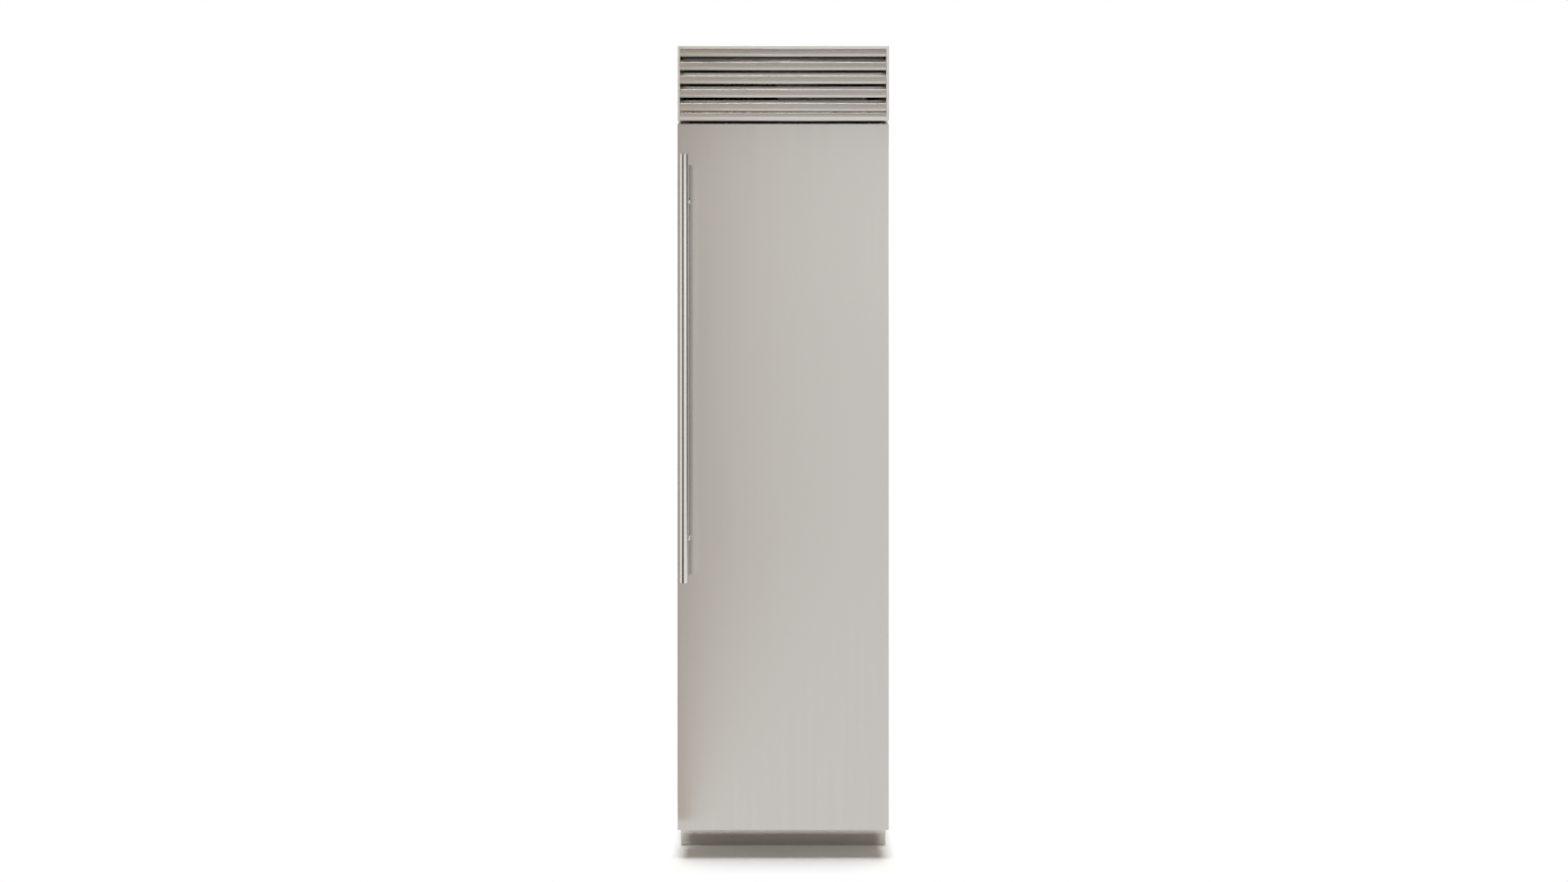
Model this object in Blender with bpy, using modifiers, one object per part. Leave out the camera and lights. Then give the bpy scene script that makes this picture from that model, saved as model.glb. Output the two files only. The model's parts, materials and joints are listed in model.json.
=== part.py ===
# Built-in column freezer with a louvred ventilation grille over one tall right-hinged door.
# Units are metres, +Z is up and the door faces -Y. The origin is on the floor, under the middle
# of the whole appliance, handle included.
import math

import bmesh
import bpy
from mathutils import Matrix, Vector

# Directions, and the two sides of the appliance with their signs along X
UP = Vector((0.0, 0.0, 1.0))
DOWN = -UP
BACK = Vector((0.0, 1.0, 0.0))
FRONT = -BACK
RIGHT = Vector((1.0, 0.0, 0.0))
SIDES = (("left", -1), ("right", 1))

# Whole front, as the eye sees it: door, grille and the space under the door
DOOR_WIDTH = 0.575
DOOR_HEIGHT = 1.924
FLOOR_TO_DOOR = 0.079
GRILLE_HEIGHT = 0.204
DOOR_TO_GRILLE_GAP = 0.0075

# Depths, from the door's face to the back of the case
DOOR_THICKNESS = 0.068
SEAL_GAP = 0.012
CASE_DEPTH = 0.530
CASE_INSET = 0.001

# Sheet metal, and the small gap that two touching solids keep
SKIN_SHEET = 0.0012
CASE_SHEET = 0.0015
INSIDE_BEND = 0.0008
FIT_GAP = 0.0003
CUT_OVERRUN = 0.010
JOIN_OVERLAP = 0.001

# Insulated cabinet
FLOOR_TO_CASE = 0.100
CASE_TO_DOOR_TOP = 0.003
SIDE_INSULATION = 0.055
END_INSULATION = 0.060
REAR_INSULATION = 0.060
FRAME_THICKNESS = 0.005
LINER_WALL = 0.002
LINER_CORNER = 0.008

# Handle: a round bar on two turned posts, each held by a screw through the door's skin
BAR_RADIUS = 0.011
BAR_STANDOFF = 0.060
BAR_LENGTH = 1.138
BAR_TOP_DROP = 0.100
BAR_EDGE_INSET = 0.014
BAR_END_ROUND = 0.0012
POST_RADIUS = 0.007
POST_INSET = 0.110
POST_SEAT_RADIUS = 0.010
POST_SEAT_HEIGHT = 0.003
SCREW_RADIUS = 0.003
SCREW_LENGTH = 0.022

# Door hinge: the pin of each bracket turns in a flanged bush in the door's end
HINGE_INSET = 0.018
HINGE_SETBACK = 0.022
PIN_RADIUS = 0.005
PIN_END_GAP = 0.0051
RUN_CLEARANCE = 0.0003
BUSH_WALL = 0.0025
BUSH_LENGTH = 0.034
BUSH_FLANGE_WIDTH = 0.0037
BUSH_FLANGE_HEIGHT = 0.0009
BRACKET_THICKNESS = 0.004
BRACKET_TO_DOOR = 0.0016
BRACKET_WIDTH = 0.046
BRACKET_NOSE_RADIUS = 0.012
BRACKET_TO_SEAL = 0.0016

# Inside of the door
SEAL_MARGIN = 0.020
SEAL_WIDTH = 0.016
SEAL_ROUND = 0.002
DOOR_LINER_SHEET = 0.003
DIKE_REACH = 0.022
DIKE_WIDTH = 0.026
DIKE_CLEARANCE = 0.014
DIKE_ROUND = 0.006
BIN_DEPTH = 0.088
BIN_HEIGHT = 0.105
BIN_WALL = 0.003
BIN_INSIDE_BEND = 0.003
BIN_ABOVE_SHELF = 0.030

# Ventilation grille
GRILLE_DEPTH = 0.030
GRILLE_RAIL_DEPTH = 0.008
GRILLE_SIDE_RAIL = 0.0065
GRILLE_TOP_RAIL = 0.0085
GRILLE_BOTTOM_RAIL = 0.0108
GRILLE_EDGE = 0.0012
LOUVRE_COUNT = 5
LOUVRE_FIRST_DROP = 0.0056
LOUVRE_LAST_RISE = 0.0492
LOUVRE_SLOPE_RISE = 0.0112
LOUVRE_SLOPE_RUN = 0.0098
LOUVRE_NOSE_RADIUS = 0.0030
LOUVRE_NOSE_STEPS = 4
LOUVRE_FACE_HEIGHT = 0.0148
LOUVRE_LIP_RADIUS = 0.0112
LOUVRE_LIP_TURN = math.radians(40.0)
LOUVRE_LIP_STEPS = 4
LOUVRE_SHEET = 0.0014
LOUVRE_SETBACK = 0.0020
SILL_FACE_HEIGHT = 0.0128
SILL_TOP_RUN = 0.0050
GRILLE_PIVOT_DROP = 0.012
GRILLE_PIVOT_SETBACK = 0.020
GRILLE_PIN_RADIUS = 0.003
GRILLE_PIN_SKIN = 0.002
ARM_THICKNESS = 0.003
ARM_HALF_HEIGHT = 0.0075
ARM_FOOT_LENGTH = 0.022

# Machine compartment on top of the cabinet
COVER_SETBACK = 0.040
COVER_TOP_DROP = 0.001
COMPRESSOR_RADIUS = 0.078
COMPRESSOR_HEIGHT = 0.150
COMPRESSOR_DOME_RISE = 0.040
COMPRESSOR_DOME_STEPS = 6
COMPRESSOR_PLATE_WIDTH = 0.172
COMPRESSOR_PLATE_THICKNESS = 0.003
COMPRESSOR_FOOT_HEIGHT = 0.014
COMPRESSOR_FOOT_RADIUS = 0.012
COMPRESSOR_FOOT_INSET = 0.003
COMPRESSOR_SIDE_GAP = 0.019
COMPRESSOR_REAR_GAP = 0.024
CONDENSER_DEPTH = 0.050
CONDENSER_SETBACK = 0.010
CONDENSER_SIDE_GAP = 0.012
CONDENSER_TO_BOX = 0.091
FIN_PITCH = 0.014
FIN_THICKNESS = 0.003
FIN_SPINE = 0.008
SHROUD_DEPTH = 0.036
SHROUD_MARGIN = 0.009
COOLING_FAN_RADIUS = 0.062
FAN_TIP_CLEARANCE = 0.004
FAN_HUB_RADIUS = 0.016
FAN_HUB_DEPTH = 0.022
FAN_HUB_ROUND = 0.003
FAN_BLADE_COUNT = 5
FAN_BLADE_CHORD = 0.030
FAN_BLADE_THICKNESS = 0.002
FAN_BLADE_PITCH = math.radians(28.0)
FAN_RUN_GAP = 0.0006
MOTOR_RADIUS = 0.024
MOTOR_LENGTH = 0.034
SHAFT_RADIUS = 0.003
SHAFT_LENGTH = 0.016
STRUT_WIDTH = 0.010
STRUT_THICKNESS = 0.003
CONTROL_BOX_WIDTH = 0.170
CONTROL_BOX_HEIGHT = 0.110
CONTROL_BOX_DEPTH = 0.070
CONTROL_BOX_ROUND = 0.003
CONTROL_BOX_TO_SIDE = 0.050
SWITCH_WIDTH = 0.024
SWITCH_HEIGHT = 0.014
SWITCH_DEPTH = 0.009
SWITCH_PROUD = 0.003
SWITCH_GAP = 0.0009
SWITCH_ROUND = 0.001
PIPE_RADIUS = 0.004
PIPE_HEIGHT = 0.040
PIPE_STUB = 0.012
PIPE_STEPS = 20
VENT_COUNT = 6
VENT_LENGTH = 0.180
VENT_HEIGHT = 0.006
VENT_PITCH = 0.022
VENT_DROP = 0.040

# Base: a frame, a plinth, two screw feet at the front and two rollers at the back
PLINTH_HEIGHT = 0.0587
PLINTH_FLOOR_GAP = 0.001
PLINTH_RETURN = 0.045
BASE_BAR = 0.040
FOOT_RADIUS = 0.019
FOOT_HEIGHT = 0.012
FOOT_ROUND = 0.002
FOOT_SETBACK = 0.085
STEM_RADIUS = 0.005
STEM_LENGTH = 0.070
ROLLER_HEADROOM = 0.0087
ROLLER_WIDTH = 0.020
ROLLER_ROUND = 0.002
ROLLER_REAR_INSET = 0.050
AXLE_RADIUS = 0.004
FORK_SHEET = 0.003
FORK_SIDE_GAP = 0.0006
FORK_LENGTH = 0.040
FORK_BELOW_AXLE = 0.008

# Cold air circuit behind the cavity
DUCT_DEPTH = 0.075
DUCT_SHEET = 0.002
EVAPORATOR_WIDTH = 0.336
EVAPORATOR_HEIGHT = 0.260
EVAPORATOR_DEPTH = 0.052
EVAPORATOR_RISE = 0.800
COLD_FAN_RADIUS = 0.055
COLD_FAN_GAP = 0.065
SLOT_COUNT = 5
SLOT_LENGTH = 0.120
SLOT_HEIGHT = 0.006
SLOT_PITCH = 0.016
SLOT_RISE = 0.060

# Shelves, drawers and lights in the cavity
DRAWER_COUNT = 2
DRAWER_PITCH = 0.330
DRAWER_FIRST_RISE = 0.020
DRAWER_HEADROOM = 0.055
DRAWER_WALL = 0.004
DRAWER_INSIDE_BEND = 0.006
DRAWER_SIDE_GAP = 0.003
DRAWER_SETBACK = 0.055
DRAWER_REAR_GAP = 0.006
DRAWER_FRONT_THICKNESS = 0.008
DRAWER_FRONT_ROUND = 0.002
DRAWER_PULL_WIDTH = 0.300
DRAWER_PULL_HEIGHT = 0.014
DRAWER_PULL_DEPTH = 0.012
DRAWER_PULL_DROP = 0.018
SHELF_COUNT = 3
SHELF_HEADROOM = 0.380
SHELF_THICKNESS = 0.005
SHELF_SIDE_GAP = 0.004
SHELF_SETBACK = 0.118
SHELF_REAR_GAP = 0.003
SHELF_TRIM_HEIGHT = 0.016
SHELF_TRIM_DEPTH = 0.008
LEDGE_BEARING = 0.005
LEDGE_HEIGHT = 0.008
LIGHT_WIDTH = 0.012
LIGHT_HEIGHT = 0.760
LIGHT_DEPTH = 0.006
LIGHT_ROUND = 0.0015
LIGHT_SETBACK = 0.045
LIGHT_TOP_GAP = 0.050

# Facets of round pieces, and how sharply two faces meet before their edge shows
ROUND_STEPS = 24
WHEEL_STEPS = 32
SMALL_STEPS = 16
SHARP_ANGLE = math.radians(35.0)
MERGE_DISTANCE = 0.00005

# Places that follow from the sizes above
HALF_DOOR = DOOR_WIDTH / 2
HALF_CASE = HALF_DOOR - CASE_INSET
HANDLE_REACH = BAR_STANDOFF + BAR_RADIUS
DEPTH = HANDLE_REACH + DOOR_THICKNESS + SEAL_GAP + CASE_DEPTH
FACE_Y = HANDLE_REACH - DEPTH / 2
DOOR_BACK_Y = FACE_Y + DOOR_THICKNESS
CASE_FRONT_Y = DOOR_BACK_Y + SEAL_GAP
SHELL_FRONT_Y = CASE_FRONT_Y + FRAME_THICKNESS + FIT_GAP
CASE_BACK_Y = CASE_FRONT_Y + CASE_DEPTH
PANEL_FRONT_Y = CASE_BACK_Y - CASE_SHEET
DOOR_BOTTOM_Z = FLOOR_TO_DOOR
DOOR_TOP_Z = DOOR_BOTTOM_Z + DOOR_HEIGHT
GRILLE_BOTTOM_Z = DOOR_TOP_Z + DOOR_TO_GRILLE_GAP
TOP_Z = GRILLE_BOTTOM_Z + GRILLE_HEIGHT
CABINET_BOTTOM_Z = FLOOR_TO_CASE
CABINET_TOP_Z = DOOR_TOP_Z - CASE_TO_DOOR_TOP
HALF_CAVITY = HALF_CASE - SIDE_INSULATION
CAVITY_BOTTOM_Z = CABINET_BOTTOM_Z + END_INSULATION
CAVITY_TOP_Z = CABINET_TOP_Z - END_INSULATION
CAVITY_BACK_Y = CASE_BACK_Y - REAR_INSULATION
DUCT_FRONT_Y = CAVITY_BACK_Y - DUCT_DEPTH
HINGE_X = HALF_DOOR - HINGE_INSET
HINGE_Y = FACE_Y + HINGE_SETBACK
BUSH_BORE = PIN_RADIUS + RUN_CLEARANCE
BUSH_RADIUS = BUSH_BORE + BUSH_WALL
PIN_LENGTH = BRACKET_TO_DOOR + BUSH_LENGTH - BUSH_WALL - PIN_END_GAP
BAR_X = BAR_EDGE_INSET + BAR_RADIUS - HALF_DOOR
BAR_Y = FACE_Y - BAR_STANDOFF
BAR_TOP_Z = DOOR_TOP_Z - BAR_TOP_DROP
BAR_BOTTOM_Z = BAR_TOP_Z - BAR_LENGTH
HALF_DIKE = HALF_CAVITY - DIKE_CLEARANCE
DIKE_BOTTOM_Z = CAVITY_BOTTOM_Z + DIKE_CLEARANCE
DIKE_TOP_Z = CAVITY_TOP_Z - DIKE_CLEARANCE
GRILLE_PIVOT_Y = FACE_Y + GRILLE_PIVOT_SETBACK
GRILLE_PIVOT_Z = TOP_Z - GRILLE_PIVOT_DROP
HALF_WINDOW = HALF_DOOR - GRILLE_SIDE_RAIL
LOUVRE_PITCH = (GRILLE_HEIGHT - LOUVRE_FIRST_DROP - LOUVRE_LAST_RISE) / (LOUVRE_COUNT - 1)
COVER_FRONT_Y = FACE_Y + COVER_SETBACK
DECK_TOP_Z = CABINET_TOP_Z + FIT_GAP + CASE_SHEET
MACHINE_FLOOR_Z = DECK_TOP_Z + FIT_GAP
CONTROL_BOX_X = HALF_CASE - CONTROL_BOX_TO_SIDE - CONTROL_BOX_WIDTH
CONDENSER_WIDTH = HALF_CASE - CONDENSER_SIDE_GAP + CONTROL_BOX_X - CONDENSER_TO_BOX
CONDENSER_HEIGHT = 2 * (COOLING_FAN_RADIUS + FAN_TIP_CLEARANCE + SHROUD_MARGIN)
CONDENSER_X = CONDENSER_SIDE_GAP + CONDENSER_WIDTH / 2 - HALF_CASE
CONDENSER_FRONT_Y = SHELL_FRONT_Y + CONDENSER_SETBACK
CONDENSER_BACK_Y = CONDENSER_FRONT_Y + CONDENSER_DEPTH
SHROUD_BACK_Y = CONDENSER_BACK_Y + FIT_GAP + SHROUD_DEPTH
CONDENSER_MID_Z = MACHINE_FLOOR_Z + CONDENSER_HEIGHT / 2
COMPRESSOR_X = HALF_CASE - COMPRESSOR_SIDE_GAP - COMPRESSOR_PLATE_WIDTH / 2
COMPRESSOR_Y = CASE_BACK_Y - COMPRESSOR_REAR_GAP - COMPRESSOR_PLATE_WIDTH / 2
FRAME_BOTTOM_Z = PLINTH_FLOOR_GAP + PLINTH_HEIGHT + FIT_GAP
FRAME_TOP_Z = CABINET_BOTTOM_Z - FIT_GAP
BAR_MIDDLE_X = HALF_CASE - BASE_BAR / 2
FOOT_Y = CASE_FRONT_Y + FOOT_SETBACK
ROLLER_Y = CASE_BACK_Y - ROLLER_REAR_INSET
ROLLER_RADIUS = (FRAME_BOTTOM_Z - FIT_GAP - FORK_SHEET - ROLLER_HEADROOM) / 2
FIRST_DRAWER_Z = CAVITY_BOTTOM_Z + DRAWER_FIRST_RISE
DRAWER_HEIGHT = DRAWER_PITCH - DRAWER_HEADROOM
FIRST_SHELF_Z = FIRST_DRAWER_Z + DRAWER_COUNT * DRAWER_PITCH
SHELF_PITCH = (CAVITY_TOP_Z - SHELF_HEADROOM - FIRST_SHELF_Z) / (SHELF_COUNT - 1)
DRAWER_FRONT_Y = CASE_FRONT_Y + DRAWER_SETBACK
SHELF_FRONT_Y = CASE_FRONT_Y + SHELF_SETBACK
EVAPORATOR_Z = CAVITY_BOTTOM_Z + EVAPORATOR_RISE
COLD_FAN_Z = EVAPORATOR_Z + EVAPORATOR_HEIGHT + COLD_FAN_GAP + COLD_FAN_RADIUS


def material(name, hex_colour, roughness, metallic, alpha=1.0):
    """One Principled material; the colour is given as sRGB hex."""
    made = bpy.data.materials.new(name)
    made.use_nodes = True
    shader = made.node_tree.nodes["Principled BSDF"]
    channels = [int(hex_colour[i : i + 2], 16) / 255 for i in (0, 2, 4)]
    linear = [c / 12.92 if c <= 0.04045 else ((c + 0.055) / 1.055) ** 2.4 for c in channels]
    shader.inputs["Base Color"].default_value = (*linear, 1.0)
    shader.inputs["Roughness"].default_value = roughness
    shader.inputs["Metallic"].default_value = metallic
    shader.inputs["Alpha"].default_value = alpha
    made.diffuse_color = (*linear, alpha)
    return made


def keep(made, finish, parent=None):
    """Puts an object with the freezer's pieces, or among the cutters when it has no finish."""
    if finish is None:
        CUTTERS.objects.link(made)
        made.hide_render = True
        made.display_type = "WIRE"
    else:
        FREEZER.objects.link(made)
        made.data.materials.append(finish)
    if parent is not None:
        made.parent = parent
        made.matrix_parent_inverse = Matrix.Translation(-parent.location)
    return made


def add(name, shape, finish, place, parent=None):
    """Turns a finished bmesh into one named object with its origin at place."""
    mesh = bpy.data.meshes.new(name)
    shape.to_mesh(mesh)
    shape.free()
    if mesh.polygons:
        mesh.shade_smooth()
        mesh.set_sharp_from_angle(angle=SHARP_ANGLE)
    made = bpy.data.objects.new(name, mesh)
    made.location = place
    return keep(made, finish, parent)


def axis_empty(name, place):
    """An empty on a joint's axis; what it carries turns or slides with it."""
    made = bpy.data.objects.new(name, None)
    made.location = place
    made.empty_display_size = PIN_LENGTH
    FREEZER.objects.link(made)
    return made


def round_edges(piece, width, steps=2):
    """Rounds every sharp edge of a block, a bar or a sheet."""
    modifier = piece.modifiers.new("rounding", "BEVEL")
    modifier.width = width
    modifier.segments = steps
    modifier.limit_method = "ANGLE"
    return piece


def blocks(name, corners, finish, parent=None):
    """One or more solid blocks, each between two opposite corners, in one object."""
    centre = (Vector(corners[0][0]) + Vector(corners[0][1])) / 2
    shape = bmesh.new()
    for low, high in corners:
        low, high = Vector(low), Vector(high)
        made = bmesh.ops.create_cube(shape, size=1.0)["verts"]
        bmesh.ops.scale(shape, vec=high - low, verts=made)
        bmesh.ops.translate(shape, vec=(low + high) / 2 - centre, verts=made)
    return add(name, shape, finish, centre, parent)


def block(name, low, high, finish=None, parent=None, rounding=0.0, steps=2):
    """A solid block between two opposite corners."""
    made = blocks(name, [(low, high)], finish, parent)
    if rounding:
        round_edges(made, rounding, steps)
    return made


def pan(name, low, high, open_sides, sheet, finish, parent=None, bend=INSIDE_BEND, steps=2):
    """Sheet folded between two opposite corners, with no wall on the open sides."""
    low, high = Vector(low), Vector(high)
    shape = bmesh.new()
    bmesh.ops.create_cube(shape, size=1.0)
    lids = [face for face in shape.faces if any(face.normal.angle(side) < SHARP_ANGLE for side in open_sides)]
    bmesh.ops.delete(shape, geom=lids, context="FACES")
    bmesh.ops.scale(shape, vec=high - low, verts=shape.verts)
    made = add(name, shape, finish, (low + high) / 2, parent)
    round_edges(made, sheet + bend, steps)
    wall = made.modifiers.new("sheet", "SOLIDIFY")
    wall.thickness = sheet
    wall.offset = -1.0
    wall.use_even_offset = True
    return made


def rod(name, radius, start, end, finish=None, parent=None, steps=ROUND_STEPS):
    """A round bar from one point to another."""
    start, end = Vector(start), Vector(end)
    shape = bmesh.new()
    length = (end - start).length
    bmesh.ops.create_cone(shape, cap_ends=True, segments=steps, radius1=radius, radius2=radius, depth=length)
    turn = (end - start).to_track_quat("Z", "Y").to_matrix()
    bmesh.ops.transform(shape, matrix=turn.to_4x4(), verts=shape.verts)
    return add(name, shape, finish, (start + end) / 2, parent)


def turned(name, profile, place, finish=None, parent=None, up=UP, steps=ROUND_STEPS):
    """Turns a line of (radius, height) points, drawn down its outer side, about its axis."""
    shape = bmesh.new()
    points = [shape.verts.new((radius, 0.0, height)) for radius, height in profile]
    for above, below in zip(points, points[1:]):
        shape.edges.new((above, below))
    made = add(name, shape, finish, place, parent)
    made.rotation_mode = "QUATERNION"
    made.rotation_quaternion = Vector(up).to_track_quat("Z", "Y")
    lathe = made.modifiers.new("lathe", "SCREW")
    lathe.steps = steps
    lathe.render_steps = steps
    lathe.use_merge_vertices = True
    lathe.merge_threshold = MERGE_DISTANCE
    return made


def extrusion(name, outline, length, place, finish, parent=None):
    """A flat outline of (depth, height) points drawn out along X, centred at place."""
    curve = bpy.data.curves.new(name, "CURVE")
    curve.dimensions = "2D"
    curve.fill_mode = "BOTH"
    curve.extrude = length / 2
    line = curve.splines.new("POLY")
    line.points.add(len(outline) - 1)
    for point, (depth, height) in zip(line.points, outline):
        point.co = (depth, height, 0.0, 1.0)
    line.use_cyclic_u = True
    made = bpy.data.objects.new(name, curve)
    made.rotation_euler = (math.pi / 2, 0.0, math.pi / 2)
    made.location = place
    return keep(made, finish, parent)


def boolean(piece, tools, operation):
    for tool in tools:
        modifier = piece.modifiers.new(tool.name, "BOOLEAN")
        modifier.operation = operation
        modifier.solver = "EXACT"
        modifier.object = tool
    return piece


def cut(piece, *tools):
    return boolean(piece, tools, "DIFFERENCE")


def join(piece, *tools):
    return boolean(piece, tools, "UNION")


# The door and all that swings with it


def post_heights():
    return (("top", BAR_TOP_Z - POST_INSET), ("bottom", BAR_BOTTOM_Z + POST_INSET))


def make_door_shell(swing):
    """Folded steel skin, the foam that fills it, and the holes for bushes and screws in both."""
    skin_back_y = DOOR_BACK_Y - DOOR_LINER_SHEET - FIT_GAP
    low = (-HALF_DOOR, FACE_Y, DOOR_BOTTOM_Z)
    high = (HALF_DOOR, skin_back_y, DOOR_TOP_Z)
    skin = pan("door_skin", low, high, [BACK], SKIN_SHEET, BRUSHED_STEEL, swing)
    inset = SKIN_SHEET + FIT_GAP
    foam = block(
        "door_foam",
        (inset - HALF_DOOR, FACE_Y + inset, DOOR_BOTTOM_Z + inset),
        (HALF_DOOR - inset, skin_back_y, DOOR_TOP_Z - inset),
        FOAM,
        swing,
        rounding=INSIDE_BEND,
    )
    for end, edge_z, inward in (("top", DOOR_TOP_Z, -1), ("bottom", DOOR_BOTTOM_Z, 1)):
        pocket = rod(
            f"cut_bush_{end}",
            BUSH_RADIUS + FIT_GAP,
            (HINGE_X, HINGE_Y, edge_z - inward * CUT_OVERRUN),
            (HINGE_X, HINGE_Y, edge_z + inward * (BUSH_LENGTH + FIT_GAP)),
        )
        cut(skin, pocket)
        cut(foam, pocket)
    for end, post_z in post_heights():
        hole = rod(
            f"cut_screw_{end}",
            SCREW_RADIUS + FIT_GAP,
            (BAR_X, FACE_Y - CUT_OVERRUN, post_z),
            (BAR_X, FACE_Y + SCREW_LENGTH + FIT_GAP, post_z),
            steps=SMALL_STEPS,
        )
        cut(skin, hole)
        cut(foam, hole)


def make_bushes(swing):
    """Flanged plastic bushes pressed into the door's ends, bored for the hinge pins."""
    flange = BUSH_RADIUS + BUSH_FLANGE_WIDTH
    bore_depth = BUSH_LENGTH - BUSH_WALL
    mouth = FIT_GAP + BUSH_FLANGE_HEIGHT
    profile = (
        (0.0, -bore_depth),
        (BUSH_BORE, -bore_depth),
        (BUSH_BORE, mouth),
        (flange, mouth),
        (flange, FIT_GAP),
        (BUSH_RADIUS, FIT_GAP),
        (BUSH_RADIUS, -BUSH_LENGTH),
        (0.0, -BUSH_LENGTH),
    )
    turned("door_bush_top", profile, (HINGE_X, HINGE_Y, DOOR_TOP_Z), NYLON, swing)
    turned("door_bush_bottom", profile, (HINGE_X, HINGE_Y, DOOR_BOTTOM_Z), NYLON, swing, up=DOWN)


def make_door_liner(swing):
    """Inner door: a flat sheet with one raised frame that reaches into the cavity."""
    half = HALF_DOOR - SKIN_SHEET
    liner = block(
        "door_liner",
        (-half, DOOR_BACK_Y - DOOR_LINER_SHEET, DOOR_BOTTOM_Z + SKIN_SHEET),
        (half, DOOR_BACK_Y, DOOR_TOP_Z - SKIN_SHEET),
        WHITE_ABS,
        swing,
    )
    dike = block(
        "join_dike",
        (-HALF_DIKE, DOOR_BACK_Y - JOIN_OVERLAP, DIKE_BOTTOM_Z),
        (HALF_DIKE, CASE_FRONT_Y + DIKE_REACH, DIKE_TOP_Z),
    )
    well = block(
        "cut_dike",
        (DIKE_WIDTH - HALF_DIKE, DOOR_BACK_Y, DIKE_BOTTOM_Z + DIKE_WIDTH),
        (HALF_DIKE - DIKE_WIDTH, CASE_FRONT_Y + DIKE_REACH + CUT_OVERRUN, DIKE_TOP_Z - DIKE_WIDTH),
    )
    cut(dike, well)
    round_edges(dike, DIKE_ROUND)
    join(liner, dike)


def make_door_seal(swing):
    """Magnetic gasket, one rectangular loop on the door's back."""
    half = HALF_DOOR - SEAL_MARGIN
    low_z, high_z = DOOR_BOTTOM_Z + SEAL_MARGIN, DOOR_TOP_Z - SEAL_MARGIN
    front_y, back_y = DOOR_BACK_Y + FIT_GAP, CASE_FRONT_Y - FIT_GAP
    seal = block("door_seal", (-half, front_y, low_z), (half, back_y, high_z), SEAL_RUBBER, swing)
    hole = block(
        "cut_seal",
        (SEAL_WIDTH - half, front_y - CUT_OVERRUN, low_z + SEAL_WIDTH),
        (half - SEAL_WIDTH, back_y + CUT_OVERRUN, high_z - SEAL_WIDTH),
    )
    cut(seal, hole)
    round_edges(seal, SEAL_ROUND, 1)


def make_bins(swing):
    """Shallow bins that hang between the sides of the door's raised frame."""
    half = HALF_DIKE - DIKE_WIDTH - FIT_GAP
    front_y = DOOR_BACK_Y + FIT_GAP
    for number in range(SHELF_COUNT):
        low_z = FIRST_SHELF_Z + number * SHELF_PITCH + BIN_ABOVE_SHELF
        low = (-half, front_y, low_z)
        high = (half, front_y + BIN_DEPTH, low_z + BIN_HEIGHT)
        pan(f"door_bin_{number + 1}", low, high, [UP], BIN_WALL, CLEAR_PLASTIC, swing, BIN_INSIDE_BEND)


def make_handle(swing):
    """Round bar, two posts hollowed to fit its back, and the screws that hold the posts."""
    low, high = (BAR_X, BAR_Y, BAR_BOTTOM_Z), (BAR_X, BAR_Y, BAR_TOP_Z)
    bar = rod("handle_bar", BAR_RADIUS, low, high, SATIN_STEEL, swing, WHEEL_STEPS)
    round_edges(bar, BAR_END_ROUND)
    reach = BAR_STANDOFF - FIT_GAP
    seat = POST_SEAT_HEIGHT
    profile = (
        (0.0, reach),
        (POST_RADIUS, reach),
        (POST_RADIUS, seat),
        (POST_SEAT_RADIUS, seat / 2),
        (POST_SEAT_RADIUS, 0.0),
        (0.0, 0.0),
    )
    for end, post_z in post_heights():
        foot = (BAR_X, FACE_Y - FIT_GAP, post_z)
        post = turned(f"handle_post_{end}", profile, foot, SATIN_STEEL, swing, up=FRONT)
        saddle = rod(
            f"cut_post_{end}",
            BAR_RADIUS + FIT_GAP,
            (BAR_X, BAR_Y, post_z - POST_RADIUS - CUT_OVERRUN),
            (BAR_X, BAR_Y, post_z + POST_RADIUS + CUT_OVERRUN),
            steps=WHEEL_STEPS,
        )
        cut(post, saddle)
        tip = (BAR_X, FACE_Y + SCREW_LENGTH, post_z)
        rod(f"handle_screw_{end}", SCREW_RADIUS, (BAR_X, FACE_Y, post_z), tip, ZINC_STEEL, swing, SMALL_STEPS)


# Hinge brackets on the cabinet


def make_hinge_bracket(end, edge_z, outward):
    """Plate along the door's end, with a flange on the cabinet's front and a pin into the bush."""
    near_z = edge_z + outward * BRACKET_TO_DOOR
    far_z = near_z + outward * BRACKET_THICKNESS
    right_x = HINGE_X + BRACKET_NOSE_RADIUS
    left_x = right_x - BRACKET_WIDTH
    back_y = CASE_FRONT_Y - FIT_GAP
    low_z, high_z = min(near_z, far_z), max(near_z, far_z)
    plate = block(f"hinge_bracket_{end}", (left_x, HINGE_Y, low_z), (right_x, back_y, high_z), ZINC_STEEL)
    nose = rod(f"join_nose_{end}", BRACKET_NOSE_RADIUS, (HINGE_X, HINGE_Y, low_z), (HINGE_X, HINGE_Y, high_z))
    tip_z = edge_z - outward * (SEAL_MARGIN - BRACKET_TO_SEAL)
    low_z, high_z = min(tip_z, far_z), max(tip_z, far_z)
    flange_y = back_y - BRACKET_THICKNESS
    flange = block(f"join_flange_{end}", (left_x, flange_y, low_z), (right_x, back_y, high_z))
    root = (HINGE_X, HINGE_Y, near_z + outward * JOIN_OVERLAP)
    pin = rod(f"join_pin_{end}", PIN_RADIUS, root, (HINGE_X, HINGE_Y, near_z - outward * PIN_LENGTH))
    join(plate, nose, flange, pin)


# The ventilation grille, which tilts up about two pins at its top


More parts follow.
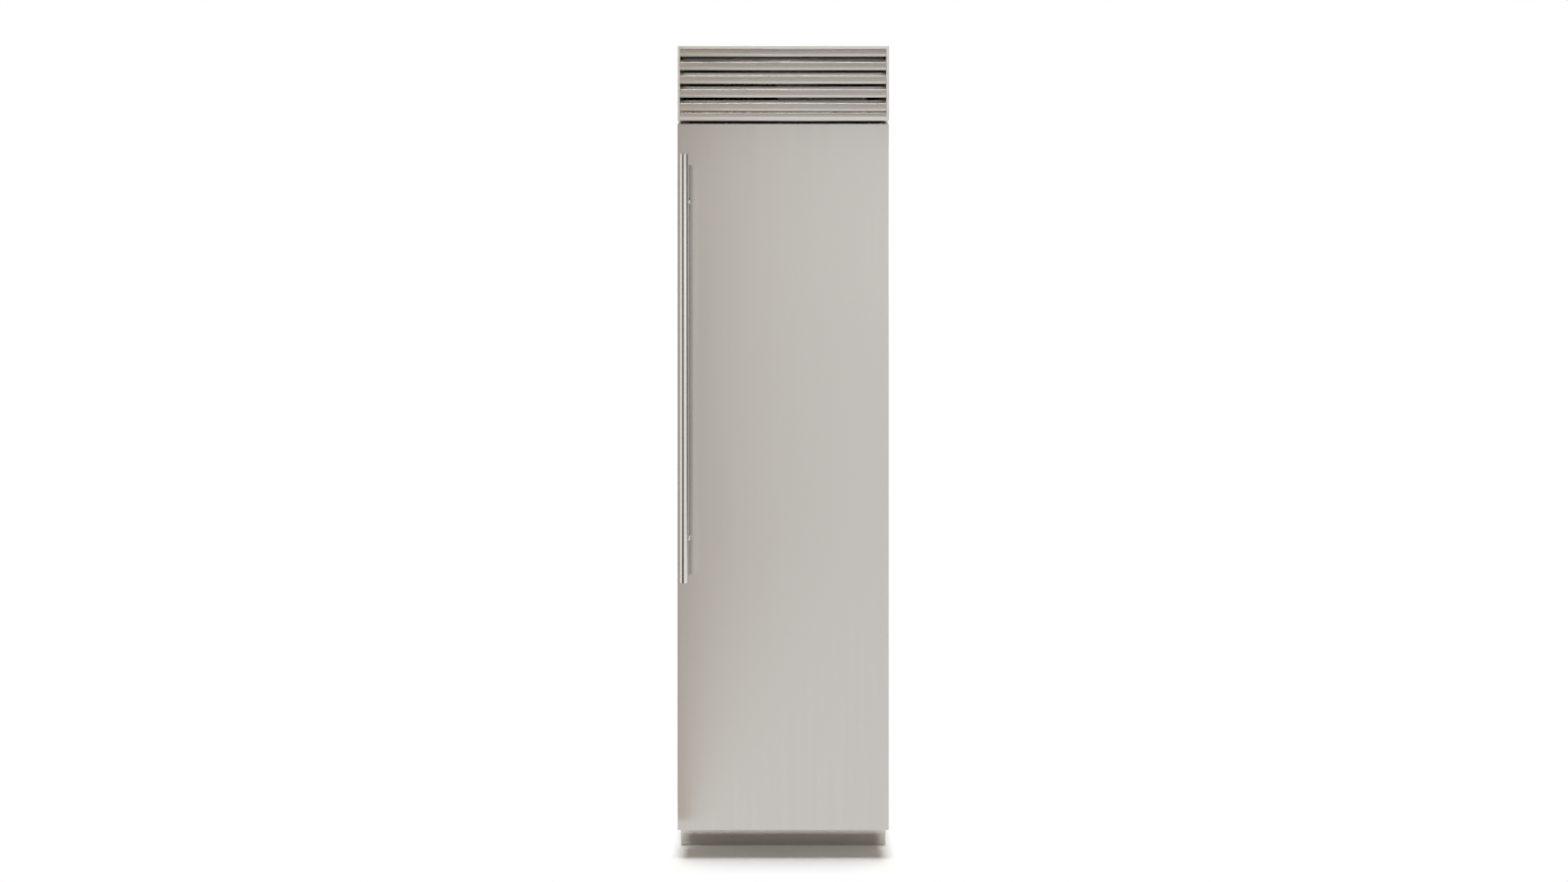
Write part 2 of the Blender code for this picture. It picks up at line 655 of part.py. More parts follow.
def slope_and_nose(run, rise):
    """Upper part of a blade: down its slope and round its nose, from the nose's top at zero."""
    radius = LOUVRE_NOSE_RADIUS
    first = math.pi / 2 + math.atan2(rise, run)
    arc = []
    for step in range(LOUVRE_NOSE_STEPS + 1):
        angle = first + (math.pi - first) * step / LOUVRE_NOSE_STEPS
        arc.append((radius + radius * math.cos(angle), radius * math.sin(angle) - radius))
    back = (arc[0][0] + run, arc[0][1] + rise)
    return [back, *arc]


def lip():
    """Lower part of a blade: the foot of its face and the lip that curves back under it."""
    radius = LOUVRE_LIP_RADIUS
    arc = []
    for step in range(LOUVRE_LIP_STEPS + 1):
        angle = LOUVRE_LIP_TURN * step / LOUVRE_LIP_STEPS
        arc.append((radius - radius * math.cos(angle), -LOUVRE_FACE_HEIGHT - radius * math.sin(angle)))
    return arc


def sheet_outline(line):
    """Closes a line into a sheet of one thickness behind it."""
    points = [Vector(point) for point in line]
    behind = []
    for i, point in enumerate(points):
        into = (point - points[max(i - 1, 0)]).normalized()
        onward = (points[min(i + 1, len(points) - 1)] - point).normalized()
        along = (into + onward).normalized()
        spread = along.dot(onward if i == 0 else into)
        behind.append(point + Vector((-along.y, along.x)) * LOUVRE_SHEET / spread)
    return [tuple(point) for point in (*points, *reversed(behind))]


def make_grille(tilt):
    """Frame with deep side rails, the blades between them and the sill on the lower rail."""
    deep_y = FACE_Y + GRILLE_DEPTH
    rail_y = FACE_Y + GRILLE_RAIL_DEPTH
    low_z, high_z = GRILLE_BOTTOM_Z + GRILLE_BOTTOM_RAIL, TOP_Z - GRILLE_TOP_RAIL
    low, high = (-HALF_DOOR, FACE_Y, GRILLE_BOTTOM_Z), (HALF_DOOR, deep_y, TOP_Z)
    frame = block("grille_frame", low, high, BRUSHED_STEEL, tilt, rounding=GRILLE_EDGE, steps=1)
    window = block(
        "cut_window",
        (-HALF_WINDOW, FACE_Y - CUT_OVERRUN, low_z),
        (HALF_WINDOW, rail_y + CUT_OVERRUN, high_z),
    )
    rear = block(
        "cut_grille_rear",
        (-HALF_WINDOW, rail_y, GRILLE_BOTTOM_Z - CUT_OVERRUN),
        (HALF_WINDOW, deep_y + CUT_OVERRUN, TOP_Z + CUT_OVERRUN),
    )
    cut(frame, window, rear)
    for side, sign in SIDES:
        hole = rod(
            f"cut_grille_pin_{side}",
            GRILLE_PIN_RADIUS + RUN_CLEARANCE,
            (sign * (HALF_WINDOW - CUT_OVERRUN), GRILLE_PIVOT_Y, GRILLE_PIVOT_Z),
            (sign * (HALF_DOOR - GRILLE_PIN_SKIN), GRILLE_PIVOT_Y, GRILLE_PIVOT_Z),
            steps=SMALL_STEPS,
        )
        cut(frame, hole)
    blade_y = FACE_Y + LOUVRE_SETBACK
    length = 2 * (HALF_WINDOW - FIT_GAP)
    first_z = TOP_Z - LOUVRE_FIRST_DROP
    top_line = [(0.0, high_z - FIT_GAP - first_z), *lip()]
    extrusion("louvre_1", sheet_outline(top_line), length, (0.0, blade_y, first_z), BRUSHED_STEEL, tilt)
    blade_line = [*slope_and_nose(LOUVRE_SLOPE_RUN, LOUVRE_SLOPE_RISE), *lip()]
    for number in range(1, LOUVRE_COUNT):
        place = (0.0, blade_y, first_z - number * LOUVRE_PITCH)
        extrusion(f"louvre_{number + 1}", sheet_outline(blade_line), length, place, BRUSHED_STEEL, tilt)
    sill_line = [*slope_and_nose(SILL_TOP_RUN, 0.0), (0.0, -SILL_FACE_HEIGHT)]
    place = (0.0, blade_y, low_z + FIT_GAP + SILL_FACE_HEIGHT)
    extrusion("grille_sill", sheet_outline(sill_line), length, place, BRUSHED_STEEL, tilt)


def make_grille_arm(side, sign):
    """Arm on the cover's side wall, with the pin that the grille turns on."""
    outer_x = sign * (HALF_WINDOW - FIT_GAP)
    inner_x = outer_x - sign * ARM_THICKNESS
    wall_x = sign * (HALF_CASE - CASE_SHEET - FIT_GAP)
    foot_y = COVER_FRONT_Y + FIT_GAP
    back_y = foot_y + ARM_FOOT_LENGTH
    low_z, high_z = GRILLE_PIVOT_Z - ARM_HALF_HEIGHT, GRILLE_PIVOT_Z + ARM_HALF_HEIGHT
    low = (min(inner_x, outer_x), GRILLE_PIVOT_Y, low_z)
    high = (max(inner_x, outer_x), back_y, high_z)
    arm = block(f"grille_arm_{side}", low, high, ZINC_STEEL)
    nose = rod(
        f"join_arm_nose_{side}",
        ARM_HALF_HEIGHT,
        (inner_x, GRILLE_PIVOT_Y, GRILLE_PIVOT_Z),
        (outer_x, GRILLE_PIVOT_Y, GRILLE_PIVOT_Z),
    )
    foot = block(
        f"join_arm_foot_{side}",
        (min(inner_x, wall_x), foot_y, low_z),
        (max(inner_x, wall_x), back_y, high_z),
    )
    pin = rod(
        f"join_arm_pin_{side}",
        GRILLE_PIN_RADIUS,
        (outer_x - sign * JOIN_OVERLAP, GRILLE_PIVOT_Y, GRILLE_PIVOT_Z),
        (sign * (HALF_DOOR - GRILLE_PIN_SKIN - RUN_CLEARANCE), GRILLE_PIVOT_Y, GRILLE_PIVOT_Z),
        steps=SMALL_STEPS,
    )
    join(arm, nose, foot, pin)


# The insulated cabinet


def make_case():
    """Outer sheet, rear panel, foam box, front frame and the moulded liner inside."""
    wall = CASE_SHEET
    low = (-HALF_CASE, SHELL_FRONT_Y, CABINET_BOTTOM_Z)
    high = (HALF_CASE, PANEL_FRONT_Y - FIT_GAP, CABINET_TOP_Z)
    pan("case_wrapper", low, high, [FRONT, BACK, UP], wall, GREY_PAINT)
    panel = block(
        "rear_panel",
        (-HALF_CASE, PANEL_FRONT_Y, CABINET_BOTTOM_Z),
        (HALF_CASE, CASE_BACK_Y, TOP_Z - COVER_TOP_DROP),
        ZINC_STEEL,
    )
    vents = []
    for row in range(VENT_COUNT):
        high_z = TOP_Z - VENT_DROP - row * VENT_PITCH
        low = (-VENT_LENGTH / 2, PANEL_FRONT_Y - CUT_OVERRUN, high_z - VENT_HEIGHT)
        vents.append((low, (VENT_LENGTH / 2, CASE_BACK_Y + CUT_OVERRUN, high_z)))
    cut(panel, blocks("cut_vents", vents, None))
    inset = wall + FIT_GAP
    foam = block(
        "insulation_foam",
        (inset - HALF_CASE, SHELL_FRONT_Y, CABINET_BOTTOM_Z + inset),
        (HALF_CASE - inset, PANEL_FRONT_Y - FIT_GAP, CABINET_TOP_Z),
        FOAM,
        rounding=INSIDE_BEND,
    )
    around = LINER_WALL + FIT_GAP
    pocket = block(
        "cut_foam",
        (-HALF_CAVITY - around, SHELL_FRONT_Y - CUT_OVERRUN, CAVITY_BOTTOM_Z - around),
        (HALF_CAVITY + around, CAVITY_BACK_Y + around, CAVITY_TOP_Z + around),
    )
    cut(foam, pocket)
    frame = block(
        "front_frame",
        (-HALF_CASE, CASE_FRONT_Y, CABINET_BOTTOM_Z),
        (HALF_CASE, CASE_FRONT_Y + FRAME_THICKNESS, CABINET_TOP_Z),
        GREY_PAINT,
    )
    mouth = block(
        "cut_front_frame",
        (-HALF_CAVITY, CASE_FRONT_Y - CUT_OVERRUN, CAVITY_BOTTOM_Z),
        (HALF_CAVITY, CASE_FRONT_Y + FRAME_THICKNESS + CUT_OVERRUN, CAVITY_TOP_Z),
    )
    cut(frame, mouth)
    make_liner()


def make_liner():
    """Moulded liner with a ledge on both sides under each drawer and each shelf."""
    liner = pan(
        "inner_liner",
        (-HALF_CAVITY - LINER_WALL, SHELL_FRONT_Y, CAVITY_BOTTOM_Z - LINER_WALL),
        (HALF_CAVITY + LINER_WALL, CAVITY_BACK_Y + LINER_WALL, CAVITY_TOP_Z + LINER_WALL),
        [FRONT],
        LINER_WALL,
        WHITE_ABS,
        bend=LINER_CORNER,
    )
    under_drawer = DRAWER_SIDE_GAP + DRAWER_WALL + DRAWER_INSIDE_BEND + LEDGE_BEARING
    under_shelf = SHELF_SIDE_GAP + LEDGE_BEARING
    levels = []
    for number in range(DRAWER_COUNT):
        levels.append((FIRST_DRAWER_Z + number * DRAWER_PITCH, DRAWER_FRONT_Y, under_drawer))
    for number in range(SHELF_COUNT):
        levels.append((FIRST_SHELF_Z + number * SHELF_PITCH, SHELF_FRONT_Y, under_shelf))
    ledges = []
    for load_z, front_y, width in levels:
        high_z = load_z - FIT_GAP
        start_y = front_y + SHELF_TRIM_DEPTH + FIT_GAP
        for _, sign in SIDES:
            inner_x, outer_x = sign * (HALF_CAVITY - width), sign * (HALF_CAVITY + LINER_WALL / 2)
            low = (min(inner_x, outer_x), start_y, high_z - LEDGE_HEIGHT)
            ledges.append((low, (max(inner_x, outer_x), DUCT_FRONT_Y - SHELF_REAR_GAP, high_z)))
    join(liner, blocks("join_ledges", ledges, None))


def make_shelves():
    """Glass shelves with a moulded trim along the front edge."""
    half = HALF_CAVITY - SHELF_SIDE_GAP
    for number in range(SHELF_COUNT):
        low_z = FIRST_SHELF_Z + number * SHELF_PITCH
        high_z = low_z + SHELF_THICKNESS
        low = (-half, SHELF_FRONT_Y, low_z)
        high = (half, DUCT_FRONT_Y - SHELF_REAR_GAP, high_z)
        shelf = block(f"glass_shelf_{number + 1}", low, high, CLEAR_PLASTIC)
        trim = block(
            f"join_trim_{number + 1}",
            (-half, SHELF_FRONT_Y - JOIN_OVERLAP, high_z - SHELF_TRIM_HEIGHT),
            (half, SHELF_FRONT_Y + SHELF_TRIM_DEPTH, high_z + JOIN_OVERLAP),
        )
        join(shelf, trim)


def make_drawer(number):
    """Clear tub on its ledges, with a separate front that carries a moulded pull."""
    half = HALF_CAVITY - DRAWER_SIDE_GAP
    low_z = FIRST_DRAWER_Z + number * DRAWER_PITCH
    high_z = low_z + DRAWER_HEIGHT
    slide = axis_empty(f"drawer_{number + 1}_slide", (0.0, DRAWER_FRONT_Y, low_z))
    tub_y = DRAWER_FRONT_Y + DRAWER_FRONT_THICKNESS + FIT_GAP
    low, high = (-half, tub_y, low_z), (half, DUCT_FRONT_Y - DRAWER_REAR_GAP, high_z)
    name = f"drawer_tub_{number + 1}"
    pan(name, low, high, [UP], DRAWER_WALL, CLEAR_PLASTIC, slide, DRAWER_INSIDE_BEND)
    front = block(
        f"drawer_front_{number + 1}",
        (-half, DRAWER_FRONT_Y, low_z),
        (half, DRAWER_FRONT_Y + DRAWER_FRONT_THICKNESS, high_z),
        WHITE_ABS,
        slide,
        rounding=DRAWER_FRONT_ROUND,
        steps=1,
    )
    pull_z = high_z - DRAWER_PULL_DROP
    pull = block(
        f"join_pull_{number + 1}",
        (-DRAWER_PULL_WIDTH / 2, DRAWER_FRONT_Y - DRAWER_PULL_DEPTH, pull_z - DRAWER_PULL_HEIGHT),
        (DRAWER_PULL_WIDTH / 2, DRAWER_FRONT_Y + JOIN_OVERLAP, pull_z),
        rounding=DRAWER_FRONT_ROUND,
        steps=1,
    )
    join(front, pull)


def make_lights():
    """Light bars on both side walls, in front of the shelves."""
    high_z = CAVITY_TOP_Z - LIGHT_TOP_GAP
    front_y = CASE_FRONT_Y + LIGHT_SETBACK
    for side, sign in SIDES:
        outer_x = sign * (HALF_CAVITY - FIT_GAP)
        inner_x = outer_x - sign * LIGHT_DEPTH
        low = (min(inner_x, outer_x), front_y, high_z - LIGHT_HEIGHT)
        high = (max(inner_x, outer_x), front_y + LIGHT_WIDTH, high_z)
        block(f"light_bar_{side}", low, high, LIGHT_DIFFUSER, rounding=LIGHT_ROUND, steps=1)


# Cold air circuit


def fin_block(name, low, high, finish):
    """Heat exchanger: upright fins, open to the front, on a spine at the back."""
    low, high = Vector(low), Vector(high)
    body = block(name, low, high, finish)
    width = high.x - low.x
    count = int((width - FIN_THICKNESS) / FIN_PITCH)
    start_x = low.x + (width - count * FIN_PITCH - FIN_THICKNESS) / 2 + FIN_THICKNESS
    gaps = []
    for number in range(count):
        gap_x = start_x + number * FIN_PITCH
        corner = (gap_x, low.y - CUT_OVERRUN, low.z - CUT_OVERRUN)
        gaps.append((corner, (gap_x + FIN_PITCH - FIN_THICKNESS, high.y - FIN_SPINE, high.z + CUT_OVERRUN)))
    return cut(body, blocks(f"cut_{name}", gaps, None))


def motor_profile():
    """Motor and its shaft, from the motor's back at zero; the shaft points up."""
    return (
        (0.0, MOTOR_LENGTH + SHAFT_LENGTH),
        (SHAFT_RADIUS, MOTOR_LENGTH + SHAFT_LENGTH),
        (SHAFT_RADIUS, MOTOR_LENGTH),
        (MOTOR_RADIUS, MOTOR_LENGTH),
        (MOTOR_RADIUS, 0.0),
        (0.0, 0.0),
    )


def make_fan(name, radius, place):
    """Hub with pitched blades, bored for a motor's shaft, its back at place and its nose forward."""
    spin = axis_empty(f"{name}_spin", place)
    bore = SHAFT_RADIUS + RUN_CLEARANCE
    hub = turned(
        name,
        (
            (0.0, FAN_HUB_DEPTH),
            (FAN_HUB_RADIUS - FAN_HUB_ROUND, FAN_HUB_DEPTH),
            (FAN_HUB_RADIUS, FAN_HUB_DEPTH - FAN_HUB_ROUND),
            (FAN_HUB_RADIUS, 0.0),
            (bore, 0.0),
            (bore, SHAFT_LENGTH),
            (0.0, SHAFT_LENGTH),
        ),
        place,
        BLACK_PLASTIC,
        spin,
        up=FRONT,
    )
    start = FAN_HUB_RADIUS - JOIN_OVERLAP
    for number in range(FAN_BLADE_COUNT):
        shape = bmesh.new()
        bmesh.ops.create_cube(shape, size=1.0)
        size = (radius - start, FAN_BLADE_THICKNESS, FAN_BLADE_CHORD)
        bmesh.ops.scale(shape, vec=size, verts=shape.verts)
        bmesh.ops.translate(shape, vec=((radius + start) / 2, 0.0, 0.0), verts=shape.verts)
        middle = (place[0], place[1] - FAN_HUB_DEPTH / 2, place[2])
        blade = add(f"join_{name}_{number + 1}", shape, None, middle)
        blade.rotation_euler = (FAN_BLADE_PITCH, number * 2 * math.pi / FAN_BLADE_COUNT, 0.0)
        join(hub, blade)


def make_cold_side():
    """Evaporator and its fan on the liner's rear wall, behind a slotted cover."""
    back_y = CAVITY_BACK_Y - FIT_GAP
    low = (-EVAPORATOR_WIDTH / 2, back_y - EVAPORATOR_DEPTH, EVAPORATOR_Z)
    high = (EVAPORATOR_WIDTH / 2, back_y, EVAPORATOR_Z + EVAPORATOR_HEIGHT)
    fin_block("evaporator", low, high, ALUMINIUM)
    turned("evaporator_fan_motor", motor_profile(), (0.0, back_y, COLD_FAN_Z), BLACK_PLASTIC, up=FRONT)
    make_fan("evaporator_fan", COLD_FAN_RADIUS, (0.0, back_y - MOTOR_LENGTH - FAN_RUN_GAP, COLD_FAN_Z))
    margin = LINER_CORNER + FIT_GAP
    low = (margin - HALF_CAVITY, DUCT_FRONT_Y, CAVITY_BOTTOM_Z + margin)
    high = (HALF_CAVITY - margin, back_y, CAVITY_TOP_Z - margin)
    panel = pan("duct_cover", low, high, [BACK], DUCT_SHEET, WHITE_ABS)
    slots = []
    for shelf in range(SHELF_COUNT):
        for row in range(SLOT_COUNT):
            slot_z = FIRST_SHELF_Z + shelf * SHELF_PITCH + SLOT_RISE + row * SLOT_PITCH
            low = (-SLOT_LENGTH / 2, DUCT_FRONT_Y - CUT_OVERRUN, slot_z)
            slots.append((low, (SLOT_LENGTH / 2, DUCT_FRONT_Y + CUT_OVERRUN, slot_z + SLOT_HEIGHT)))
    cut(panel, blocks("cut_duct_slots", slots, None))


# Machine compartment


def make_machine_housing():
    """Tray on the cabinet's top, and the cover that stands on its rims."""
    rim_z = GRILLE_BOTTOM_Z - FIT_GAP
    low = (-HALF_CASE, SHELL_FRONT_Y, CABINET_TOP_Z + FIT_GAP)
    pan("machine_tray", low, (HALF_CASE, PANEL_FRONT_Y - FIT_GAP, rim_z), [FRONT, UP], CASE_SHEET, ZINC_STEEL)
    low = (-HALF_CASE, COVER_FRONT_Y, GRILLE_BOTTOM_Z)
    high = (HALF_CASE, PANEL_FRONT_Y - FIT_GAP, TOP_Z - COVER_TOP_DROP)
    pan("machine_cover", low, high, [FRONT, BACK, DOWN], CASE_SHEET, GREY_PAINT)


def make_compressor():
    """Welded steel can with a domed top, on a plate with four rubber feet."""
    foot_z = COMPRESSOR_FOOT_HEIGHT
    plate_z = foot_z + COMPRESSOR_PLATE_THICKNESS
    side_z = COMPRESSOR_HEIGHT - COMPRESSOR_DOME_RISE
    profile = []
    for step in range(COMPRESSOR_DOME_STEPS + 1):
        angle = math.pi / 2 * (1 - step / COMPRESSOR_DOME_STEPS)
        reach = COMPRESSOR_RADIUS * math.cos(angle) if step else 0.0
        profile.append((reach, side_z + COMPRESSOR_DOME_RISE * math.sin(angle)))
    profile += [(COMPRESSOR_RADIUS, plate_z - JOIN_OVERLAP), (0.0, plate_z - JOIN_OVERLAP)]
    place = Vector((COMPRESSOR_X, COMPRESSOR_Y, MACHINE_FLOOR_Z))
    can = turned("compressor", profile, place, BLACK_ENAMEL, steps=WHEEL_STEPS)
    half = COMPRESSOR_PLATE_WIDTH / 2
    plate = block(
        "join_compressor_plate",
        place + Vector((-half, -half, foot_z)),
        place + Vector((half, half, plate_z)),
    )
    join(can, plate)
    reach = half - COMPRESSOR_FOOT_RADIUS - COMPRESSOR_FOOT_INSET
    for row in (-1, 1):
        for column in (-1, 1):
            low = place + Vector((column * reach, row * reach, 0.0))
            high = low + Vector((0.0, 0.0, foot_z + JOIN_OVERLAP))
            join(can, rod(f"join_foot_{row}_{column}", COMPRESSOR_FOOT_RADIUS, low, high, steps=SMALL_STEPS))


def make_cooling_unit():
    """Condenser at the front, its fan behind it in a shroud, and the line from the compressor."""
    half = CONDENSER_WIDTH / 2
    low = (CONDENSER_X - half, CONDENSER_FRONT_Y, MACHINE_FLOOR_Z)
    high = (CONDENSER_X + half, CONDENSER_BACK_Y, MACHINE_FLOOR_Z + CONDENSER_HEIGHT)
    fin_block("condenser", low, high, BLACK_ENAMEL)
    low = (CONDENSER_X - half, CONDENSER_BACK_Y + FIT_GAP, MACHINE_FLOOR_Z)
    high = (CONDENSER_X + half, SHROUD_BACK_Y, MACHINE_FLOOR_Z + CONDENSER_HEIGHT)
    shroud = pan("condenser_fan_shroud", low, high, [FRONT], CASE_SHEET, BLACK_PLASTIC)
    middle = Vector((CONDENSER_X, SHROUD_BACK_Y, CONDENSER_MID_Z))
    overrun = Vector((0.0, CUT_OVERRUN, 0.0))
    hole_radius = COOLING_FAN_RADIUS + FAN_TIP_CLEARANCE
    cut(shroud, rod("cut_shroud", hole_radius, middle - overrun, middle + overrun, steps=WHEEL_STEPS))
    reach = hole_radius + CASE_SHEET
    front_y = SHROUD_BACK_Y - STRUT_THICKNESS
    for name, half_x, half_z in (("across", reach, STRUT_WIDTH / 2), ("upright", STRUT_WIDTH / 2, reach)):
        strut = block(
            f"join_strut_{name}",
            (middle.x - half_x, front_y, middle.z - half_z),
            (middle.x + half_x, SHROUD_BACK_Y - CASE_SHEET / 2, middle.z + half_z),
        )
        join(shroud, strut)
    seat_y = front_y + MOTOR_LENGTH
    join(shroud, turned("join_motor", motor_profile(), (middle.x, seat_y, middle.z), up=FRONT))
    make_fan("condenser_fan", COOLING_FAN_RADIUS, (middle.x, front_y - FAN_RUN_GAP, middle.z))
    make_refrigerant_line()


def make_refrigerant_line():
    """Copper line that leaves the compressor and enters the condenser's end square to both."""
    line_z = MACHINE_FLOOR_Z + PIPE_HEIGHT
    start = Vector((COMPRESSOR_X - COMPRESSOR_RADIUS - FIT_GAP, COMPRESSOR_Y, line_z))
    end_x = CONDENSER_X + CONDENSER_WIDTH / 2 + FIT_GAP
    end = Vector((end_x, CONDENSER_BACK_Y - FIN_SPINE / 2, line_z))
    stub = Vector((PIPE_STUB, 0.0, 0.0))
    reach = Vector((start.x - end.x, 0.0, 0.0)) - stub
    points = [start]
    for step in range(PIPE_STEPS + 1):
        share = step / PIPE_STEPS
        rest = 1 - share
        near = (start - stub) * rest**3 + (start - stub - reach) * 3 * rest**2 * share
        far = (end + stub + reach) * 3 * rest * share**2 + (end + stub) * share**3
        points.append(near + far)
    points.append(end)
    curve = bpy.data.curves.new("refrigerant_line", "CURVE")
    curve.dimensions = "3D"
    curve.bevel_depth = PIPE_RADIUS
    curve.bevel_resolution = 1
    curve.use_fill_caps = True
    route = curve.splines.new("POLY")
    route.points.add(len(points) - 1)
    for point, place in zip(route.points, points):
        point.co = (*place, 1.0)
    keep(bpy.data.objects.new("refrigerant_line", curve), COPPER)


def make_control_box():
    """Electronics box behind the grille, with a rocker switch in its face."""
    low = Vector((CONTROL_BOX_X, CONDENSER_FRONT_Y, MACHINE_FLOOR_Z))
    high = low + Vector((CONTROL_BOX_WIDTH, CONTROL_BOX_DEPTH, CONTROL_BOX_HEIGHT))
    box = block("control_box", low, high, GREY_PAINT, rounding=CONTROL_BOX_ROUND)
    axis = Vector(((low.x + high.x) / 2, low.y - SWITCH_PROUD + SWITCH_DEPTH / 2, (low.z + high.z) / 2))
    size = Vector((SWITCH_WIDTH, SWITCH_DEPTH, SWITCH_HEIGHT)) / 2
    gap = Vector((SWITCH_GAP, SWITCH_GAP, SWITCH_GAP))
    pocket = block("cut_switch", axis - size - gap - Vector((0.0, CUT_OVERRUN, 0.0)), axis + size + gap)
    cut(box, pocket)
    rocker = axis_empty("power_switch_axis", axis)
    low, high = axis - size, axis + size
    block("power_switch", low, high, BLACK_PLASTIC, rocker, rounding=SWITCH_ROUND, steps=1)


# Base


def make_base():
    """Frame under the cabinet, plinth at the front, two screw feet and two rollers."""
    frame = block(
        "base_frame",
        (-HALF_CASE, CASE_FRONT_Y, FRAME_BOTTOM_Z),
        (HALF_CASE, CASE_BACK_Y, FRAME_TOP_Z),
        GREY_PAINT,
    )
    window = block(
        "cut_base",
        (BASE_BAR - HALF_CASE, CASE_FRONT_Y + BASE_BAR, FRAME_BOTTOM_Z - CUT_OVERRUN),
        (HALF_CASE - BASE_BAR, CASE_BACK_Y - BASE_BAR, FRAME_TOP_Z + CUT_OVERRUN),
    )
    cut(frame, window)
    for side, sign in SIDES:
        make_front_foot(side, sign * BAR_MIDDLE_X, frame)
        make_roller(side, sign * BAR_MIDDLE_X)
    low = (-HALF_DOOR, CASE_FRONT_Y, PLINTH_FLOOR_GAP)
    high = (HALF_DOOR, CASE_FRONT_Y + PLINTH_RETURN, PLINTH_FLOOR_GAP + PLINTH_HEIGHT)
    pan("plinth", low, high, [BACK], SKIN_SHEET, BRUSHED_STEEL)


def make_front_foot(side, foot_x, frame):
    """Pad on a screw that goes up through the base frame."""
    stem_top = FOOT_HEIGHT + STEM_LENGTH
    profile = (
        (0.0, stem_top),
        (STEM_RADIUS, stem_top),
        (STEM_RADIUS, FOOT_HEIGHT),
        (FOOT_RADIUS - FOOT_ROUND, FOOT_HEIGHT),
        (FOOT_RADIUS, FOOT_HEIGHT - FOOT_ROUND),
        (FOOT_RADIUS, 0.0),
        (0.0, 0.0),
    )
    turned(f"front_foot_{side}", profile, (foot_x, FOOT_Y, 0.0), BLACK_PLASTIC)
    low = (foot_x, FOOT_Y, FRAME_BOTTOM_Z - CUT_OVERRUN)
    high = (foot_x, FOOT_Y, FRAME_TOP_Z + CUT_OVERRUN)
    cut(frame, rod(f"cut_stem_{side}", STEM_RADIUS + RUN_CLEARANCE, low, high))


def make_roller(side, roller_x):
    """Wheel on an axle pin between the cheeks of a fork under the base frame."""
    cheek = ROLLER_WIDTH / 2 + FORK_SIDE_GAP + FORK_SHEET
    top_z = FRAME_BOTTOM_Z - FIT_GAP
    low = (roller_x - cheek, ROLLER_Y - FORK_LENGTH / 2, ROLLER_RADIUS - FORK_BELOW_AXLE)
    high = (roller_x + cheek, ROLLER_Y + FORK_LENGTH / 2, top_z)
    fork = pan(f"roller_fork_{side}", low, high, [FRONT, BACK, DOWN], FORK_SHEET, ZINC_STEEL)
    reach = cheek - FORK_SHEET / 2
    axle = rod(
        f"join_axle_{side}",
        AXLE_RADIUS,
        (roller_x - reach, ROLLER_Y, ROLLER_RADIUS),
        (roller_x + reach, ROLLER_Y, ROLLER_RADIUS),
        steps=SMALL_STEPS,
    )
    join(fork, axle)
    half = ROLLER_WIDTH / 2
    bore = AXLE_RADIUS + RUN_CLEARANCE
    profile = (
        (bore, half),
        (ROLLER_RADIUS - ROLLER_ROUND, half),
        (ROLLER_RADIUS, half - ROLLER_ROUND),
        (ROLLER_RADIUS, ROLLER_ROUND - half),
        (ROLLER_RADIUS - ROLLER_ROUND, -half),
        (bore, -half),
        (bore, half),
    )
    place = (roller_x, ROLLER_Y, ROLLER_RADIUS)
    turned(f"rear_roller_{side}", profile, place, BLACK_PLASTIC, up=RIGHT, steps=WHEEL_STEPS)


for old in list(bpy.data.objects):
    bpy.data.objects.remove(old, do_unlink=True)

FREEZER = bpy.data.collections.new("column_freezer")
CUTTERS = bpy.data.collections.new("cutters")
bpy.context.scene.collection.children.link(FREEZER)
bpy.context.scene.collection.children.link(CUTTERS)

BRUSHED_STEEL = material("brushed_stainless_steel", "B5ACA4", 0.32, 1.0)
SATIN_STEEL = material("satin_stainless_bar", "C9C6C1", 0.22, 1.0)
ZINC_STEEL = material("zinc_plated_steel", "A9ACAB", 0.38, 1.0)
GREY_PAINT = material("grey_painted_steel", "8E8F8F", 0.50, 0.0)
BLACK_ENAMEL = material("black_enamelled_steel", "1B1B1C", 0.30, 0.0)
ALUMINIUM = material("mill_aluminium", "C4C6C8", 0.35, 1.0)
COPPER = material("copper_tube", "B87348", 0.28, 1.0)
WHITE_ABS = material("white_abs", "EDEDEB", 0.35, 0.0)
BLACK_PLASTIC = material("black_moulded_plastic", "202123", 0.45, 0.0)
NYLON = material("natural_nylon", "DAD8CE", 0.40, 0.0)
CLEAR_PLASTIC = material("clear_plastic_and_glass", "DCE6E8", 0.08, 0.0, 0.35)
SEAL_RUBBER = material("grey_seal_rubber", "6E6F70", 0.65, 0.0)
FOAM = material("polyurethane_foam", "D9C583", 0.90, 0.0)
LIGHT_DIFFUSER = material("light_diffuser", "F8F8F4", 0.50, 0.0)

door_swing = axis_empty("door_swing_axis", (HINGE_X, HINGE_Y, DOOR_BOTTOM_Z))
make_door_shell(door_swing)
make_bushes(door_swing)
make_door_liner(door_swing)
make_door_seal(door_swing)
make_bins(door_swing)
make_handle(door_swing)
make_hinge_bracket("top", DOOR_TOP_Z, 1)
make_hinge_bracket("bottom", DOOR_BOTTOM_Z, -1)
grille_tilt = axis_empty("grille_tilt_axis", (0.0, GRILLE_PIVOT_Y, GRILLE_PIVOT_Z))
make_grille(grille_tilt)
for arm_side, arm_sign in SIDES:
    make_grille_arm(arm_side, arm_sign)
make_case()
make_shelves()
for drawer_number in range(DRAWER_COUNT):
    make_drawer(drawer_number)
make_lights()
make_cold_side()
make_machine_housing()
make_compressor()
make_cooling_unit()
make_control_box()
make_base()
